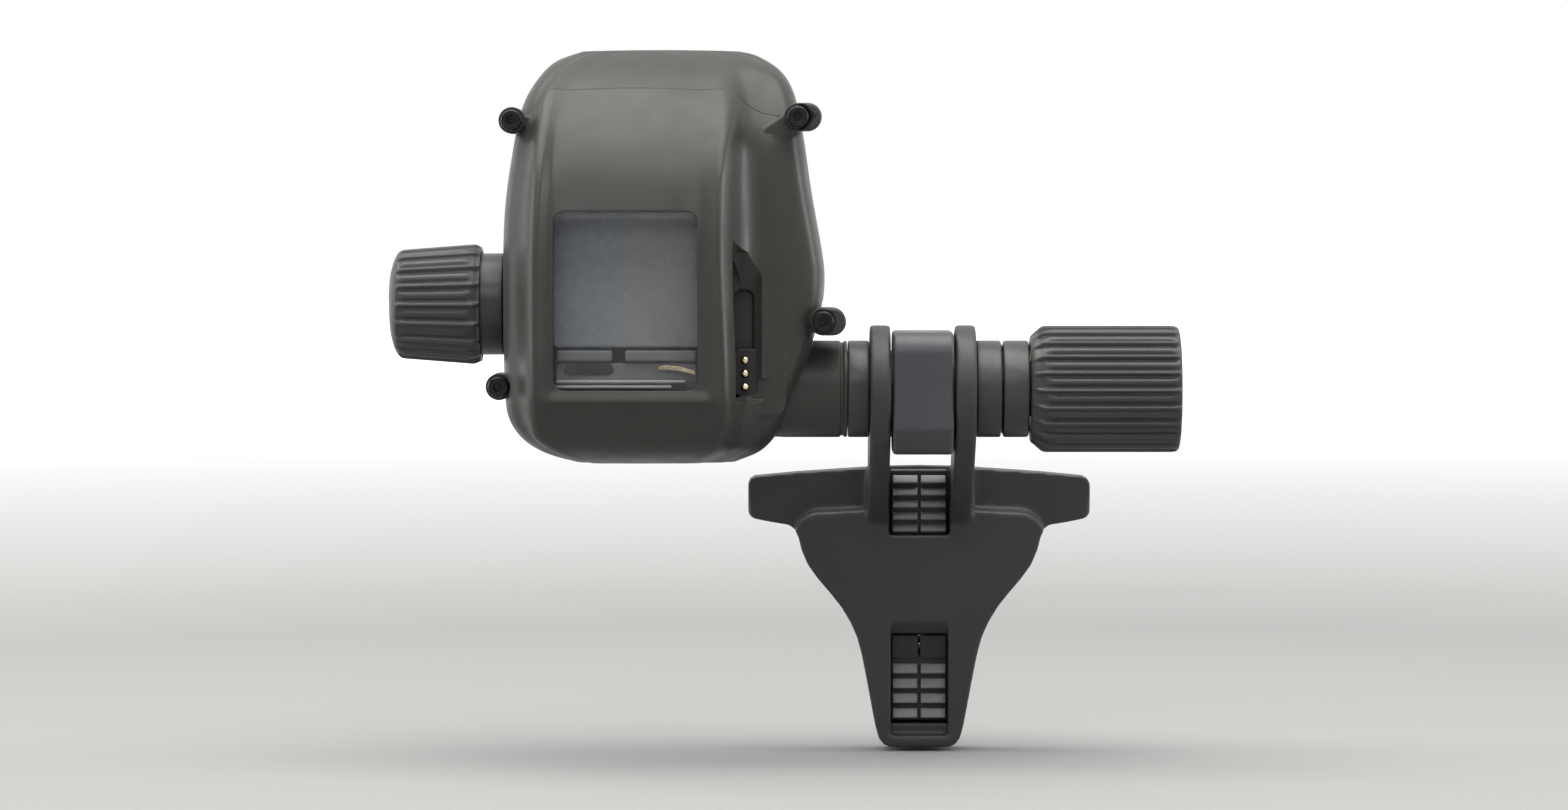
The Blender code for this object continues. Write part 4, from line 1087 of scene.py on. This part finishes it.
def lower_window():
    """The lower window's cut, with a sloping lip above it."""
    side = ((-12, -20.8), (-6.0, -20.8), (-6.0, -6.6), (-8.0, -3.9), (-12, -3.9))
    return prism("X", side, -SLOT + 0.3, SLOT - 0.3)


def knuckle():
    centre_y, centre_z = AXLE
    outline = rounded_box((centre_y - 8.6, centre_z - 9.4), (centre_y + 8.6, centre_z + 8.4), 3.4)
    fall = [(8.6, 5.2), (8.4, 5.8), (7.9, 6.4), (5.2, 8.5), (4.4, 9.1), (3.2, 9.4)]
    lower_front = slice(18, 27)  # the third of the outline's four rounded corners, nine points each
    outline[lower_front] = [(centre_y - a, centre_z - b) for a, b in fall]
    block = raw("hinge_knuckle_block", soft_prism("X", outline, -4.35, 4.35, 0.5))
    carve(block, ("DIFFERENCE", rod("X", AXLE, -9, 9, 6.75, 72), rod("X", KNUCKLE_PIN, -9, 9, 1.0, 24)))
    finish(block, "hinge_knuckle", weighted=True)
    pin = eased(((-7.5, 0.2, 0), (-7.5, 0.9, 0.2), (7.5, 0.9, 0.2), (7.5, 0.2, 0)), 0)
    finish(raw("knuckle_pin_turned", turned("X", KNUCKLE_PIN, pin, 32)), "knuckle_pin")


def carried_over():
    """CAD nodes whose shape stays: each gets its material, and eased edges where it has flat faces."""
    eased_nodes = {"contact_block": 0.15, "main_board": 0.1, "push_switch": 0.3, "light_sensor": 0.1,
                   "display_module": 0.1}
    for node, obj in frame["nodes"].items():
        if obj.hide_render:
            continue
        obj.data.materials.clear()
        obj.data.materials.append(FINISH[SLOTS[node]])
        # The contact block is painted near black, as the shade in its slot.
        if node == "contact_block":
            obj.data.materials[0] = PAINTED_SHADE_PLASTIC
        if node in eased_nodes:
            modifier = obj.modifiers.new("eased", "BEVEL")
            modifier.width = eased_nodes[node] * MM
            modifier.segments = 3
            modifier.limit_method = "ANGLE"
            modifier.angle_limit = math.radians(28)
            modifier.harden_normals = True


# The studio

LIGHTS = (  # name, place from the object's middle, size, power, colour
    ("top_softbox", (-0.05, -0.10, 0.65), (1.0, 0.6), 9.5, (1.0, 0.985, 0.95)),
    ("front_softbox", (-0.15, -0.9, 0.55), (0.6, 0.3), 2.0, (0.98, 0.99, 1.0)),
    ("right_softbox", (0.8, 0.05, 0.1), (0.25, 0.7), 4.0, (1.0, 1.0, 1.0)),
    ("left_softbox", (-0.8, 0.05, 0.1), (0.25, 0.7), 3.0, (1.0, 1.0, 1.0)),
)


def studio():
    """A white room, darker behind the camera, over a floor, grey near the object, that fades into white far
    away and glows there as painted light.
    """
    world = bpy.data.worlds.new("studio")
    bpy.context.scene.world = world
    world.use_nodes = True
    tree = world.node_tree
    direction = tree.nodes.new("ShaderNodeTexCoord").outputs["Generated"]
    split = tree.nodes.new("ShaderNodeSeparateXYZ")
    tree.links.new(direction, split.inputs[0])
    depth = tree.nodes.new("ShaderNodeMapRange")
    depth.interpolation_type = "SMOOTHSTEP"
    for key, value in (("From Min", -0.95), ("From Max", -0.1), ("To Min", 0.3), ("To Max", 1.0)):
        depth.inputs[key].default_value = value
    tree.links.new(split.outputs["Y"], depth.inputs["Value"])
    tree.links.new(depth.outputs["Result"], tree.nodes["Background"].inputs["Color"])
    tree.nodes["Background"].inputs["Strength"].default_value = 1.0

    floor = bpy.data.objects.new("floor", bpy.data.meshes.new("floor"))
    floor_r, drop = 4.0, 0.0005
    rim = arc((0.0, 0.0), floor_r, 0, 352.5, 47)
    floor.data.from_pydata([(x, y, cad_low.z - drop) for x, y in rim], [], [tuple(range(len(rim)))])
    bpy.context.scene.collection.objects.link(floor)
    paper = Nodes("paper")
    reach = paper.new("VectorMath", {0: paper.coords}, operation="LENGTH").outputs["Value"]
    near, far = (0.27, 0.27, 0.268, 1.0), (0.97, 0.97, 0.965, 1.0)
    shade = paper.mix(paper.ramp(reach, 0.0, 1.0, 0.25, 1.5), near, far)
    paper.set(Base_Color=shade, Roughness=0.9, Specular_IOR_Level=0.05, Emission_Color=(1.0, 1.0, 1.0, 1.0))
    # The far floor glows, painted light that keeps it white towards the horizon.
    paper.set(Emission_Strength=paper.ramp(reach, 0.0, 0.8, 0.35, 2.6))
    floor.data.materials.append(paper.material)

    middle = (cad_low + cad_high) / 2
    for name, offset, size, power, tint in LIGHTS:
        lamp = bpy.data.lights.new(name, "AREA")
        lamp.shape = "RECTANGLE"
        lamp.size, lamp.size_y = size
        lamp.energy = power
        lamp.color = tint
        obj = bpy.data.objects.new(name, lamp)
        bpy.context.scene.collection.objects.link(obj)
        obj.location = middle + Vector(offset)
        obj.rotation_euler = (middle - obj.location).to_track_quat("-Z", "Y").to_euler()


def camera():
    view = bpy.data.cameras.new("camera")
    view.lens, view.sensor_width = 130.0, 36.0
    obj = bpy.data.objects.new("camera", view)
    bpy.context.scene.collection.objects.link(obj)
    middle = (cad_low + cad_high) / 2
    elevation = math.radians(2.0)
    distance = 0.82
    obj.location = middle + Vector((0, -math.cos(elevation), math.sin(elevation))) * distance
    obj.rotation_euler = (middle - obj.location).to_track_quat("-Z", "Y").to_euler()
    bpy.context.scene.camera = obj
    bpy.context.scene.view_settings.view_transform = "Standard"


camera()
studio()
housing()
window_pane()
optics()
lock_knob()
push_wheel()
small_turned_parts()
springs()
screws()
bridge()
latches()
knuckle()
carried_over()
